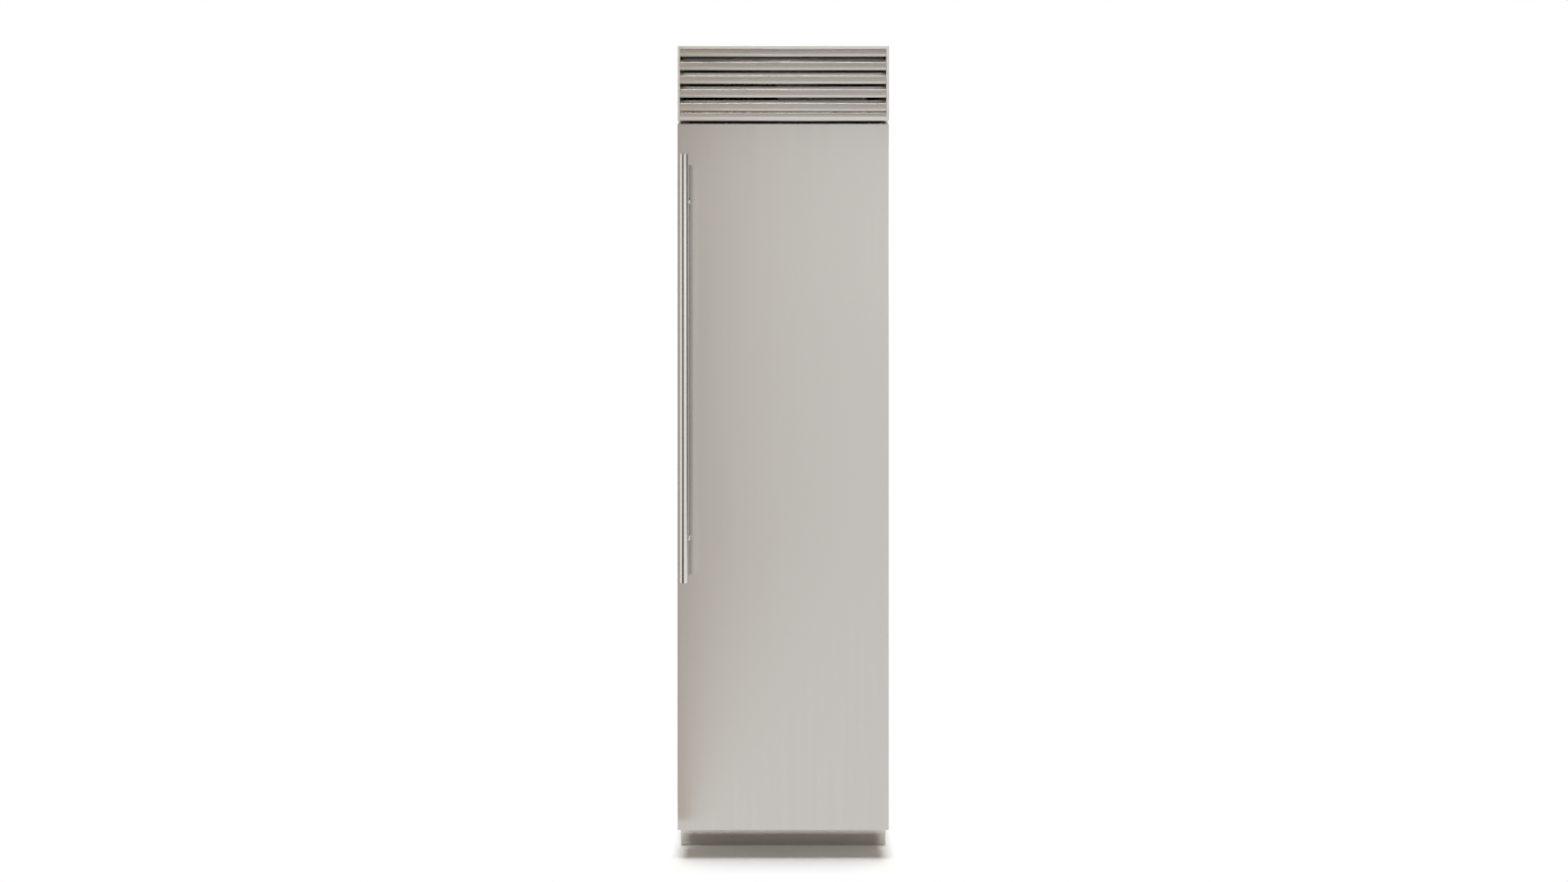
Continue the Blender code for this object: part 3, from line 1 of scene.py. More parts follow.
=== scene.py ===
# %% [markdown]
# # A column freezer, dressed for the studio
#
# The solids of this tall built-in freezer come ready made: door, sheet metal, hinges and machinery
# at their real size. This lesson gives them their finishes, adds the small things that a maker
# screws, clips and presses onto them, and photographs the result on a white floor.

# %% Load the frame
import json
import math

import bmesh
import bpy
from mathutils import Matrix, Vector

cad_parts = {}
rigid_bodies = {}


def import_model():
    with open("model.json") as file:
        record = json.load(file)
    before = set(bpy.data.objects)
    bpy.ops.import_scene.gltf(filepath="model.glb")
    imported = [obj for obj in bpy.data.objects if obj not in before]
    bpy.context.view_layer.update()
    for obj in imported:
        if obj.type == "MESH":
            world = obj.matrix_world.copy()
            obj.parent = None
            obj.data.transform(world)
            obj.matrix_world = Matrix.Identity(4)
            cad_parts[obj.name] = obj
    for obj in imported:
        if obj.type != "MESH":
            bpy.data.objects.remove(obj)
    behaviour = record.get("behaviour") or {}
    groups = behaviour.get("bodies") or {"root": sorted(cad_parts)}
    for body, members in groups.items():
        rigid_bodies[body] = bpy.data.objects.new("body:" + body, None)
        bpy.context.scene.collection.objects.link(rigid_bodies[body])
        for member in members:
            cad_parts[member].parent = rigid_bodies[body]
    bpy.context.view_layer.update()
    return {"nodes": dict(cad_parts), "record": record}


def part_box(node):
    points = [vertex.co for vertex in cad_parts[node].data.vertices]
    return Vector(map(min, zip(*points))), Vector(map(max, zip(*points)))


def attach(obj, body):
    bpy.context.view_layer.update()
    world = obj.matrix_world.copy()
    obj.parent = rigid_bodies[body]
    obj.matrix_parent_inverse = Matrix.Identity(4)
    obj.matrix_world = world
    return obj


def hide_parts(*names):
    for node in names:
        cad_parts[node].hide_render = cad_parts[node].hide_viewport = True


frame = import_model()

NODES = frame["nodes"]

# %% [markdown]
# ## The camera
# The photograph was taken square on to the door from about two and a half metres, a little over
# the middle of its height. The lens is shifted instead of tilted, so upright edges stay upright.

# %% Camera
EYE = Vector((0.0023, -2.7895, 1.2586))
LENS_MM = 21.26
LENS_SHIFT = -0.028125

camera = bpy.data.objects.new("camera", bpy.data.cameras.new("camera"))
camera.location = EYE
camera.rotation_euler = (math.radians(90.0), 0.0, 0.0)
camera.data.lens = LENS_MM
camera.data.shift_y = LENS_SHIFT
bpy.context.scene.collection.objects.link(camera)
bpy.context.scene.camera = camera
bpy.context.scene.view_settings.view_transform = "Standard"
print("camera", tuple(camera.location), "lens", LENS_MM)

# %% [markdown]
# ## One helper for colours and one for nodes
# Colours are chosen as sRGB hex, as on a paint card, and Blender wants linear light. A material
# is a small network, so one function adds a node, sets it and links what feeds it.

# %% Colour and node helpers
def srgb(code):
    """An sRGB hex colour as linear RGBA."""
    channels = [int(code[i : i + 2], 16) / 255 for i in (0, 2, 4)]
    return (*(c / 12.92 if c <= 0.04045 else ((c + 0.055) / 1.055) ** 2.4 for c in channels), 1.0)


def add_node(tree, kind, inputs=None, **settings):
    """Adds a node with its settings; an input is a value, or a socket that is linked to it."""
    made = tree.nodes.new(kind)
    for name, value in settings.items():
        setattr(made, name, value)
    for name, value in (inputs or {}).items():
        if isinstance(value, bpy.types.NodeSocket):
            tree.links.new(value, made.inputs[name])
        else:
            made.inputs[name].default_value = value
    return made


print("helpers ready, mid grey is", round(srgb("808080")[0], 3))

# %% [markdown]
# ## The studio
# The photo has a burnt-out white ground with a short soft shadow under the door. The floor is pale
# paper: right under the appliance the eye sees its real light and shade, and a few centimetres
# outside the footprint it turns plain white, with no horizon. The sky is white for the eye, for
# reflections and through glass, and weaker and warmer as a lamp. Both ask the same question of a
# ray, so one function answers it.

# %% Rays that see white
def sees_plain_white(tree):
    """1 for a ray from the eye, in a reflection or through glass, and 0 for light on its way."""
    seen = add_node(tree, "ShaderNodeLightPath").outputs
    eye_or_gloss = add_node(
        tree,
        "ShaderNodeMath",
        {0: seen["Is Camera Ray"], 1: seen["Is Glossy Ray"]},
        operation="MAXIMUM",
    )
    either = {0: eye_or_gloss.outputs[0], 1: seen["Is Transmission Ray"]}
    return add_node(tree, "ShaderNodeMath", either, operation="MAXIMUM").outputs[0]


WHITE = srgb("FFFFFF")
print("white is", WHITE)

# %% Floor
FLOOR_SIZE = 60.0
PAPER_COLOUR = "F4F4F3"
FOOTPRINT_HALF = (0.2875, 0.3055, 0.0)
FOOTPRINT_CENTRE = (0.0, 0.035, 0.0)
FADE_WIDTH = 0.08
SIDES_FADE_SOONER = (4.0, 1.0, 1.0)

bpy.ops.mesh.primitive_plane_add(size=FLOOR_SIZE)
floor = bpy.context.object
floor.name = "studio_floor"
paper = bpy.data.materials.new("white_studio_paper")
paper.use_nodes = True
tree = paper.node_tree
tree.nodes.clear()
place = add_node(tree, "ShaderNodeTexCoord").outputs["Object"]
# The distance outside the footprint, worked out on each axis and then joined.
for operation, other in (
    ("SUBTRACT", FOOTPRINT_CENTRE),
    ("ABSOLUTE", (0.0, 0.0, 0.0)),
    ("SUBTRACT", FOOTPRINT_HALF),
    ("MAXIMUM", (0.0, 0.0, 0.0)),
    ("MULTIPLY", SIDES_FADE_SOONER),
):
    step = add_node(tree, "ShaderNodeVectorMath", {0: place, 1: other}, operation=operation)
    place = step.outputs[0]
reach = add_node(tree, "ShaderNodeVectorMath", {0: place}, operation="LENGTH").outputs["Value"]
away = add_node(tree, "ShaderNodeMapRange", {"Value": reach, "From Max": FADE_WIDTH}).outputs[0]
burnt_out = add_node(
    tree, "ShaderNodeMath", {0: sees_plain_white(tree), 1: away}, operation="MULTIPLY"
).outputs[0]
matt = add_node(tree, "ShaderNodeBsdfDiffuse", {"Color": srgb(PAPER_COLOUR)}).outputs[0]
white = add_node(tree, "ShaderNodeEmission", {"Color": WHITE, "Strength": 1.0}).outputs[0]
either = add_node(tree, "ShaderNodeMixShader", {0: burnt_out, 1: matt, 2: white}).outputs[0]
add_node(tree, "ShaderNodeOutputMaterial", {"Surface": either})
floor.data.materials.append(paper)
print("floor", FLOOR_SIZE, "m wide")

# %% Sky
SKY_FILL = 0.36
FILL_COLOUR = "FFF1E2"

sky = bpy.data.worlds.new("studio_sky")
sky.use_nodes = True
tree = sky.node_tree
tree.nodes.clear()
plain = sees_plain_white(tree)
strength = add_node(
    tree, "ShaderNodeMapRange", {"Value": plain, "To Min": SKY_FILL, "To Max": 1.0}
)
hue = add_node(
    tree, "ShaderNodeMix", {0: plain, 6: srgb(FILL_COLOUR), 7: WHITE}, data_type="RGBA"
)
light = add_node(
    tree, "ShaderNodeBackground", {"Color": hue.outputs[2], "Strength": strength.outputs[0]}
)
add_node(tree, "ShaderNodeOutputWorld", {"Surface": light.outputs[0]})
bpy.context.scene.world = sky
print("sky fill", SKY_FILL)

# %% [markdown]
# ## Soft boxes
# One wide soft box hangs high over the appliance, so high that the top gets hardly more light than
# the floor. Its middle is a little behind the door, so the door shades the floor up to its own
# front. A weak one at the front left lifts the left side. Steel mirrors cards instead of them.

# %% Soft boxes
def soft_box(name, place, aim, width, height, watts):
    """A rectangular studio lamp that faces a point and isn't mirrored in metal."""
    lamp = bpy.data.lights.new(name, "AREA")
    lamp.shape = "RECTANGLE"
    lamp.size, lamp.size_y = width, height
    lamp.energy = watts
    made = bpy.data.objects.new(name, lamp)
    made.location = place
    made.rotation_euler = (Vector(aim) - Vector(place)).to_track_quat("-Z", "Y").to_euler()
    made.visible_glossy = False
    bpy.context.scene.collection.objects.link(made)


soft_box("over_head", (0.0, 0.06, 9.0), (0.0, 0.06, 0.0), 6.6, 3.5, 1000.0)
soft_box("front_left", (-2.6, -3.8, 2.9), (0.0, -0.2, 1.1), 2.0, 2.0, 12.0)

# %% [markdown]
# ## Flags, veils and cards
# Steel has hardly a colour of its own: it shows what stands round it. A photographer puts dark
# flags, pale veils and bright cards where the metal mirrors them. The left edge of the door shows
# the left flag and its veil, the louvres' faces the high flag, their noses the top card, and the
# round bar shows all of them side by side. The sheets hide from the eye and throw no shade.

# %% Flags, veils and cards
FLAG_TOP = 7.0
FLOOR_CLEARANCE = 0.001
DARK_CLOTH, GREY_CLOTH, PALE_CLOTH = "6E5E52", "948C84", "DAD0C6"


def upright(start, end, low=0.0, high=FLAG_TOP):
    """The corners of a sheet that stands over the line from start to end."""
    return ((*start, low), (*end, low), (*end, high), (*start, high))


def level(corners, height=FLOOR_CLEARANCE):
    """The corners of a sheet that lies flat at a height."""
    return [(*corner, height) for corner in corners]


def mirrored_sheet(name, corners, colour, strength=1.0):
    """A glowing sheet that only reflections see, given by four corners."""
    sheet = bmesh.new()
    sheet.faces.new([sheet.verts.new(corner) for corner in corners])
    mesh = bpy.data.meshes.new(name)
    sheet.to_mesh(mesh)
    sheet.free()
    made = bpy.data.objects.new(name, mesh)
    bpy.context.scene.collection.objects.link(made)
    cloth = bpy.data.materials.new(name)
    cloth.use_nodes = True
    tree = cloth.node_tree
    tree.nodes.clear()
    glow = add_node(tree, "ShaderNodeEmission", {"Color": srgb(colour), "Strength": strength})
    add_node(tree, "ShaderNodeOutputMaterial", {"Surface": glow.outputs[0]})
    mesh.materials.append(cloth)
    for ray in ("camera", "diffuse", "transmission", "volume_scatter", "shadow"):
        setattr(made, f"visible_{ray}", False)


near, middle, far = (-1.45, -6.0), (-3.6, -5.07), (-7.0, -3.6)
mirrored_sheet("left_flag", upright(near, middle), DARK_CLOTH)
mirrored_sheet("far_left_flag", upright(middle, far), GREY_CLOTH)
mirrored_sheet("left_veil", upright((-0.85, -6.1), (-1.5, -6.1)), PALE_CLOTH)
# Both go on along the floor, as the lower part of the door mirrors the floor.
near, foot = (-1.455, -6.0), (-0.485, -0.5)
mirrored_sheet("floor_flag", level((foot, near, far, (-2.0, -0.5))), DARK_CLOTH)
mirrored_sheet("floor_veil", level(((-0.28, -0.5), (-0.84, -6.1), near, foot)), PALE_CLOTH)
high_corners = ((-9.0, -6.6, 4.2), (9.0, -6.6, 4.2), (9.0, -3.5, 9.8), (-9.0, -3.5, 9.8))
mirrored_sheet("high_flag", high_corners, "382B20")
top_corners = ((-1.7, -1.75), (1.7, -1.75), (1.7, -0.95), (-1.7, -0.95))
mirrored_sheet("top_card", level(top_corners, 4.7), "FFFFFF", 7.0)
mirrored_sheet("right_card", upright((2.3, -5.8), (3.6, -4.9), 2.0, 3.6), "FFFFFF", 1.7)
mirrored_sheet("right_flag", upright((5.3, -2.3), (5.7, 1.2)), "5A524C")
mirrored = [o.name for o in bpy.data.objects if o.name.endswith(("_flag", "_veil", "_card"))]
print("seen in reflections only:", mirrored)

# %% [markdown]
# ## Starting a finish
# Each real finish becomes one material. What is the same all over the surface, such as how metallic
# it is, is set on the shader's own socket, and what varies comes from a small network: a pattern at
# its real size in millimetres, and what it does to the colour, the relief and the gloss. A metal
# ground in one direction also gets a tangent round the vertical axis, which its smear follows.

# %% Finish helpers
MM = 0.001
# Noise keeps to about the middle of 0 to 1, so that part is spread over the whole range.
NOISE_SPAN = {"From Min": 0.3, "From Max": 0.7}


def start_finish(name, looks):
    """A material with its constant looks set."""
    finish = bpy.data.materials.new(name)
    finish.use_nodes = True
    tree = finish.node_tree
    shader = tree.nodes["Principled BSDF"]
    for socket, value in looks.items():
        shader.inputs[socket].default_value = value
    if "Anisotropic" in looks:
        round_z = add_node(tree, "ShaderNodeTangent", direction_type="RADIAL", axis="Z")
        tree.links.new(round_z.outputs[0], shader.inputs["Tangent"])
    add_node(tree, "ShaderNodeTexCoord", name="places")
    return finish


def fitted_places(finish, size):
    """The object's own positions, with one unit for the size in millimetres along x, y and z."""
    tree = finish.node_tree
    scale = tuple(1.0 / (length * MM) for length in size)
    places = {"Vector": tree.nodes["places"].outputs["Object"], "Scale": scale}
    return add_node(tree, "ShaderNodeMapping", places).outputs[0]


def grain(finish, size, detail=2.0):
    """Noise whose spots have the given size along x, y and z; about 0.5 on average."""
    asked = {"Vector": fitted_places(finish, size), "Scale": 1.0, "Detail": detail}
    return add_node(finish.node_tree, "ShaderNodeTexNoise", asked).outputs["Fac"]


def vary(finish, pattern, colours=None, depth=0.0, **ranges):
    """Lets a pattern rule the colour between two sRGB codes, the relief and other sockets."""
    tree = finish.node_tree
    shader = tree.nodes["Principled BSDF"]
    if colours:
        share = add_node(tree, "ShaderNodeMapRange", {"Value": pattern, **NOISE_SPAN}).outputs[0]
        ends = {0: share, 6: srgb(colours[0]), 7: srgb(colours[1])}
        mixed = add_node(tree, "ShaderNodeMix", ends, data_type="RGBA")
        tree.links.new(mixed.outputs[2], shader.inputs["Base Color"])
    if depth:
        bumps = {"Height": pattern, "Distance": depth * MM, "Strength": 1.0}
        bumps = add_node(tree, "ShaderNodeBump", bumps)
        tree.links.new(bumps.outputs[0], shader.inputs["Normal"])
    for socket, (low, high) in ranges.items():
        spread = {"Value": pattern, **NOISE_SPAN, "To Min": low, "To Max": high}
        spread = add_node(tree, "ShaderNodeMapRange", spread)
        tree.links.new(spread.outputs[0], shader.inputs[socket])


print("finish helpers ready")

# %% [markdown]
# ## Brushed stainless steel
# The door, the louvres and the plinth are stainless sheet ground with a belt of about 180 grit. The
# belt leaves scratches a fifth of a millimetre wide and some centimetres long, which smear every
# reflection across their own direction. They are drawn wider than they are, because the real ones
# are finer than a pixel. The door is ground up and down, the rest from side to side. The frame of
# the grille was sanded matt and looks even, and the plinth is the smoothest and mirrors the floor.

# %% Brushed steel
SCRATCH_WIDTH = 0.9
SCRATCH_LENGTH = 140
CLOUD_WIDTH = 14


def brushed_steel(name, along, turn, dark, light, rough):
    """Ground stainless sheet; along is the axis of the grain, 0 for x or 2 for z."""
    finish = start_finish(
        name, {"Metallic": 1.0, "Anisotropic": 0.85, "Anisotropic Rotation": turn}
    )
    fine, broad = [SCRATCH_WIDTH] * 3, [CLOUD_WIDTH] * 3
    fine[along], broad[along] = SCRATCH_LENGTH, 4 * SCRATCH_LENGTH
    scratches = grain(finish, fine, detail=3.0)
    both = {0: scratches, 1: grain(finish, broad)}
    both = add_node(finish.node_tree, "ShaderNodeMath", both, operation="ADD").outputs[0]
    half = {0: both, 1: 0.5}
    half = add_node(finish.node_tree, "ShaderNodeMath", half, operation="MULTIPLY").outputs[0]
    vary(finish, half, (dark, light), Roughness=(rough - 0.03, rough + 0.03))
    vary(finish, scratches, depth=0.006)
    return finish


door_steel = brushed_steel("brushed_stainless_door", 2, 0.0, "C4C0BB", "C8C4BF", 0.19)
grille_steel = brushed_steel("brushed_stainless_grille", 0, 0.25, "C6C0B8", "CAC4BC", 0.27)
plinth_steel = brushed_steel("brushed_stainless_plinth", 0, 0.25, "C2BEB9", "C8C4BF", 0.10)
frame_steel = brushed_steel("fine_brushed_stainless_frame", 0, 0.25, "E2DED9", "E6E2DD", 0.42)
print("steel", [m.name for m in (door_steel, grille_steel, plinth_steel, frame_steel)])

# %% [markdown]
# ## Satin ground bar
# The handle is a solid stainless bar, turned and then ground while it spins, so its fine scratches
# run round it. Reflections stay crisp across the bar and are drawn out along it, which gives the
# long sharp bright and dark lines of the photograph.

# %% Satin bar
RING_PITCH = 0.5

satin_bar = start_finish(
    "satin_ground_bar", {"Metallic": 1.0, "Anisotropic": 0.6, "Anisotropic Rotation": 0.25}
)
rings = grain(satin_bar, (60, 60, RING_PITCH))
vary(satin_bar, rings, ("D2CFCB", "DBD9D6"), 0.008, Roughness=(0.13, 0.20))
print("bar", satin_bar.name)

# %% [markdown]
# ## Zinc in two forms
# Arms, forks and screws are electroplated after pressing: a smooth, slightly blue, even grey. The
# tray and the rear panel are cut from hot-dip galvanised sheet, where the zinc froze into crystals
# a centimetre across. Voronoi cells have just that shape, and each has its own tone.

# %% Zinc
PLATING_MOTTLE = 5
PLATING_GRAIN = 0.6
SPANGLE = 11

zinc_plate = start_finish("zinc_plated_steel", {"Metallic": 1.0})
mottle = grain(zinc_plate, (PLATING_MOTTLE,) * 3)
vary(zinc_plate, mottle, ("B4B8BD", "C9CCCE"), Roughness=(0.28, 0.40))
vary(zinc_plate, grain(zinc_plate, (PLATING_GRAIN,) * 3), depth=0.01)

galvanised = start_finish("hot_dip_galvanised_sheet", {"Metallic": 1.0})
tree = galvanised.node_tree
fitted = fitted_places(galvanised, (SPANGLE,) * 3)
wander = add_node(tree, "ShaderNodeTexNoise", {"Vector": fitted, "Scale": 2.0})
moved = {0: wander.outputs["Color"], 1: (0.5, 0.5, 0.5), 2: fitted}
moved = add_node(tree, "ShaderNodeVectorMath", moved, operation="MULTIPLY_ADD")
crystals = add_node(tree, "ShaderNodeTexVoronoi", {"Vector": moved.outputs[0], "Scale": 1.0})
tone = add_node(tree, "ShaderNodeSeparateColor", {"Color": crystals.outputs["Color"]})
vary(galvanised, tone.outputs[0], ("A9ADB0", "B9BCBE"))
vary(galvanised, tone.outputs[1], Roughness=(0.36, 0.50))
vary(galvanised, crystals.outputs["Distance"], depth=0.02)
print("zinc", zinc_plate.name, galvanised.name)

# %% [markdown]
# ## Paint on steel
# The case is powder coated: resin dust is baked to a skin that flows almost flat and keeps a faint
# orange peel with bumps two millimetres apart. The compressor has a thinner, harder, glossier
# baked enamel, and so have the condenser and the steel that faces the slits round the door, where
# the black is painted shade that keeps the slits dark.

# %% Paint
ORANGE_PEEL = 1.8


def baked_paint(name, dark, light, rough, depth, looks):
    """Paint baked on sheet steel, with orange peel and a little uneven gloss."""
    finish = start_finish(name, looks)
    wear = grain(finish, (90,) * 3, detail=5.0)
    vary(finish, wear, (dark, light), Roughness=(rough - 0.04, rough + 0.06))
    vary(finish, grain(finish, (ORANGE_PEEL,) * 3, detail=1.0), depth=depth)
    return finish


ENAMEL = {"IOR": 1.52, "Coat Weight": 0.35}
grey_coat = baked_paint("grey_powder_coat", "96999B", "9DA0A2", 0.42, 0.05, {"IOR": 1.5})
black_enamel = baked_paint("black_baked_enamel", "131313", "1A1A1B", 0.27, 0.03, ENAMEL)
print("paint", grey_coat.name, black_enamel.name)

# %% [markdown]
# ## Aluminium and copper
# Evaporator fins are mill-rolled aluminium, bright with soft rolling lines. The trims of shelves
# and bins are the same metal, brushed and anodised. The refrigerant pipe is drawn copper, which
# browns unevenly as soon as it is handled and brazed.

# %% Aluminium and copper
mill_aluminium = start_finish("mill_aluminium", {"Metallic": 1.0})
rolling = grain(mill_aluminium, (30, 0.8, 0.8))
vary(mill_aluminium, rolling, ("C3C6C9", "D6D9DB"), Roughness=(0.28, 0.42))

trim_aluminium = start_finish(
    "brushed_anodised_aluminium", {"Metallic": 1.0, "Coat Weight": 0.15}
)
brushing = grain(trim_aluminium, (60, 0.5, 0.5))
vary(trim_aluminium, brushing, ("BCBEC0", "CACCCD"), 0.01, Roughness=(0.26, 0.36))

copper = start_finish("drawn_copper", {"Metallic": 1.0})
browning = grain(copper, (22,) * 3, detail=4.0)
vary(copper, browning, ("8C5238", "C98763"), Roughness=(0.24, 0.42))
print("metals", mill_aluminium.name, trim_aluminium.name, copper.name)

# %% [markdown]
# ## Moulded plastics
# White ABS is vacuum formed into the liners and keeps a low, even sheen. The black parts are
# glass-filled nylon or PP with an eroded mould texture. Natural nylon is waxy and lets a little
# light in. They differ mainly in colour, gloss and the size of their texture.

# %% Plastics
def moulded(name, dark, light, rough, texture, depth, looks):
    """A plastic that took its texture from the mould."""
    finish = start_finish(name, looks)
    vary(finish, grain(finish, (60,) * 3, detail=3.0), (dark, light))
    spark = grain(finish, (texture,) * 3)
    vary(finish, spark, depth=depth, Roughness=(rough - 0.03, rough + 0.03))
    return finish


WAXY = {"IOR": 1.53, "Subsurface Weight": 0.15, "Subsurface Scale": 2 * MM}
white_abs = moulded("white_formed_abs", "E2E3E1", "E8E9E7", 0.36, 1.4, 0.015, {"IOR": 1.53})
black_plastic = moulded("black_moulded_pp", "1A1A1B", "222223", 0.52, 0.8, 0.03, {"IOR": 1.5})
nylon = moulded("natural_nylon", "D9D4C7", "E2DED2", 0.44, 1.0, 0.01, WAXY)
black_rubber = moulded("black_rubber", "141414", "1D1D1D", 0.72, 0.7, 0.04, {"IOR": 1.52})
seal_grey = moulded("grey_gasket_vinyl", "8E9091", "989A9A", 0.50, 0.9, 0.02, {"IOR": 1.53})
print("plastics", [m.name for m in (white_abs, black_plastic, nylon, black_rubber, seal_grey)])

# %% [markdown]
# ## Clear parts
# Bins and drawers are clear polystyrene, which bends light more than glass does and shows soft flow
# waves from the mould. Shelves are float glass with a green cast. Both get faint wiping marks in
# the roughness, because perfectly clean clear plastic looks like nothing at all.

# %% Clear plastic and glass
def clear(name, dark, light, ior, smooth, waves):
    """A clear solid with wiping marks and slow waves."""
    finish = start_finish(name, {"Transmission Weight": 1.0, "IOR": ior})
    wipes = grain(finish, (9, 40, 40), detail=4.0)
    vary(finish, wipes, (dark, light), Roughness=(smooth, smooth + 0.05))
    vary(finish, grain(finish, (waves,) * 3, detail=0.0), depth=0.05)
    return finish


clear_plastic = clear("clear_polystyrene", "F6FAFB", "FCFDFD", 1.59, 0.02, 28)
shelf_glass = clear("float_glass", "E3F0EA", "EDF6F2", 1.52, 0.0, 70)
print("clear", clear_plastic.name, shelf_glass.name)

# %% [markdown]
# ## Foam and light
# The insulation is polyurethane blown between the skins: straw yellow, with cells about a
# millimetre wide. The light bars are opal acrylic over a strip of diodes, 16 mm apart, so they glow
# a little more where each diode sits.

# %% Foam and diffuser
CELL_WIDTH = 1.2
DIODE_PITCH = 16

foam = start_finish("polyurethane_foam", {"Roughness": 0.9, "IOR": 1.4})
cells = {"Vector": fitted_places(foam, (CELL_WIDTH,) * 3), "Scale": 1.0}
cells = add_node(foam.node_tree, "ShaderNodeTexVoronoi", cells)
vary(foam, grain(foam, (25,) * 3), ("D9C58C", "E6D7A5"))
vary(foam, cells.outputs["Distance"], depth=0.4)

diffuser = start_finish("opal_acrylic", {"IOR": 1.49, "Emission Color": srgb("F4F8FF")})
vary(diffuser, grain(diffuser, (12,) * 3), ("E6E8EA", "EEF0F1"))
vary(diffuser, grain(diffuser, (1.0,) * 3), Roughness=(0.38, 0.46))
tree = diffuser.node_tree
beat = {"Vector": fitted_places(diffuser, (DIODE_PITCH / (2 * math.pi),) * 3)}
beat = add_node(tree, "ShaderNodeSeparateXYZ", beat).outputs["Z"]
swing = add_node(tree, "ShaderNodeMath", {0: beat}, operation="SINE").outputs[0]
vary(diffuser, swing, **{"Emission Strength": (2.4, 3.2)})
print("soft", foam.name, diffuser.name)

# %% [markdown]
# ## Dressing the frame
# Every ready-made solid names the slot of its finish. Some share a slot but not a make. The door
# with its posts, the grille's frame and the plinth with the lower bracket have grinds of their own.
# The upper bracket and the grille's arms are enamelled black as painted shade, which keeps the
# slits round them dark. The tray and the rear panel are galvanised sheet.

# %% Dress the frame
SLOT_FINISHES = {
    "brushed_steel": grille_steel,
    "satin_bar": satin_bar,
    "zinc_steel": zinc_plate,
    "grey_paint": grey_coat,
    "black_enamel": black_enamel,
    "aluminium": mill_aluminium,
    "copper": copper,
    "white_abs": white_abs,
    "black_plastic": black_plastic,
    "nylon": nylon,
    "clear_plastic": clear_plastic,
    "shelf_glass": shelf_glass,
    "seal_rubber": seal_grey,
    "foam": foam,
    "light_diffuser": diffuser,
}
NODE_FINISHES = {
    "grille_frame": frame_steel,
    "plinth": plinth_steel,
    # Painted shade: black enamel on the top bracket and the grille's arms keeps the slits round the
    # door dark.
    "hinge_bracket_top": black_enamel,
    "hinge_bracket_bottom": plinth_steel,
    "grille_arm_left": black_enamel,
    "grille_arm_right": black_enamel,
    "door_skin": door_steel,
    "handle_post_top": door_steel,
    "handle_post_bottom": door_steel,
    "machine_tray": galvanised,
    "rear_panel": galvanised,
}
# The slot that a small piece of each finish belongs to, unless it asks for another.
usual_slots = {finish.name: slot for slot, finish in SLOT_FINISHES.items()}
usual_slots[trim_aluminium.name] = "aluminium"
usual_slots[galvanised.name] = "zinc_steel"
usual_slots[black_rubber.name] = "seal_rubber"

finish_of = {}
for part in frame["record"]["subparts"]:
    node = part["node"]
    finish_of[node] = NODE_FINISHES.get(node, SLOT_FINISHES[part["material_slot"]])
    for material_slot in NODES[node].material_slots:
        material_slot.material = finish_of[node]
print("dressed", len(NODES), "solids in", len(bpy.data.materials), "materials")

# %% [markdown]
# ## Smooth bends
# The solids come as triangles that each show flat, so a round bar looks like a pencil. A welded
# copy with smooth shading stands in for each solid that has bends or round faces. Edges sharper
# than 35 degrees stay crisp, and the normals are weighed by face area, so that a bend curves while
# the big sheets beside it stay flat.

# %% Smooth bends
EASED = math.radians(35)
WELD = 0.001 * MM
FLAT_NODES = {
    "door_seal", "glass_shelf_1", "glass_shelf_2", "glass_shelf_3", "rear_panel", "front_frame",
    "base_frame", "condenser", "evaporator",
}


def welded(node):
    """The node's triangles as one welded mesh that shades by its own shape."""
    sheet = bmesh.new()
    sheet.from_mesh(NODES[node].data)
    bmesh.ops.remove_doubles(sheet, verts=sheet.verts, dist=WELD)
    mesh = bpy.data.meshes.new(node)
    sheet.to_mesh(mesh)
    sheet.free()
    if "custom_normal" in mesh.attributes:
        mesh.attributes.remove(mesh.attributes["custom_normal"])
    mesh.shade_smooth()
    mesh.set_sharp_from_angle(angle=EASED)
    return mesh


def finish_piece(made, finish, body, slot=None):
    """Gives a piece its finish and the body that it moves with; the slot is looked up but not
    assigned.
    """
    slot = slot or usual_slots[finish.name]
    made.data.materials.clear()
    made.data.materials.append(finish)
    bpy.context.scene.collection.objects.link(made)
    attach(made, body)
    return made


def weigh_normals(made):
    """Lets the big faces rule the shading of the bends beside them."""
    made.modifiers.new("weigh", "WEIGHTED_NORMAL").keep_sharp = True


for part in frame["record"]["subparts"]:
    node = part["node"]
    if node in FLAT_NODES:
        continue
    body = NODES[node].parent.name.removeprefix("body:")
    smooth = bpy.data.objects.new(f"{node}_finished", welded(node))
    finish_piece(smooth, finish_of[node], body, part["material_slot"])
    weigh_normals(smooth)
    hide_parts(node)
print("smoothed", len(NODES) - len(FLAT_NODES), "solids")

# %% [markdown]
# ## Shape helpers
# The small parts are of a few makes: blocks with eased edges, bodies turned on a lathe, skins over
# rings of points, and bent tube. Each helper adds such a shape to an open mesh, so a piece can be
# made of several. From here on lengths are in millimetres, as on a workshop drawing, and the
# helpers scale them. Positions come from the boxes of the solids that carry the piece.

# %% Shape helpers
LEFT, RIGHT, FRONT, BACK, UP = (-1, 0, 0), (1, 0, 0), (0, -1, 0), (0, 1, 0), (0, 0, 1)


def in_mm(box):
    """The two corners of a box in millimetres."""
    return [corner / MM for corner in box]


def closed(name, sheet):
    """Welds the open mesh, turns its faces outwards and closes it to mesh data."""
    bmesh.ops.remove_doubles(sheet, verts=sheet.verts, dist=WELD)
    bmesh.ops.recalc_face_normals(sheet, faces=sheet.faces)
    mesh = bpy.data.meshes.new(name)
    sheet.to_mesh(mesh)
    sheet.free()
    return mesh


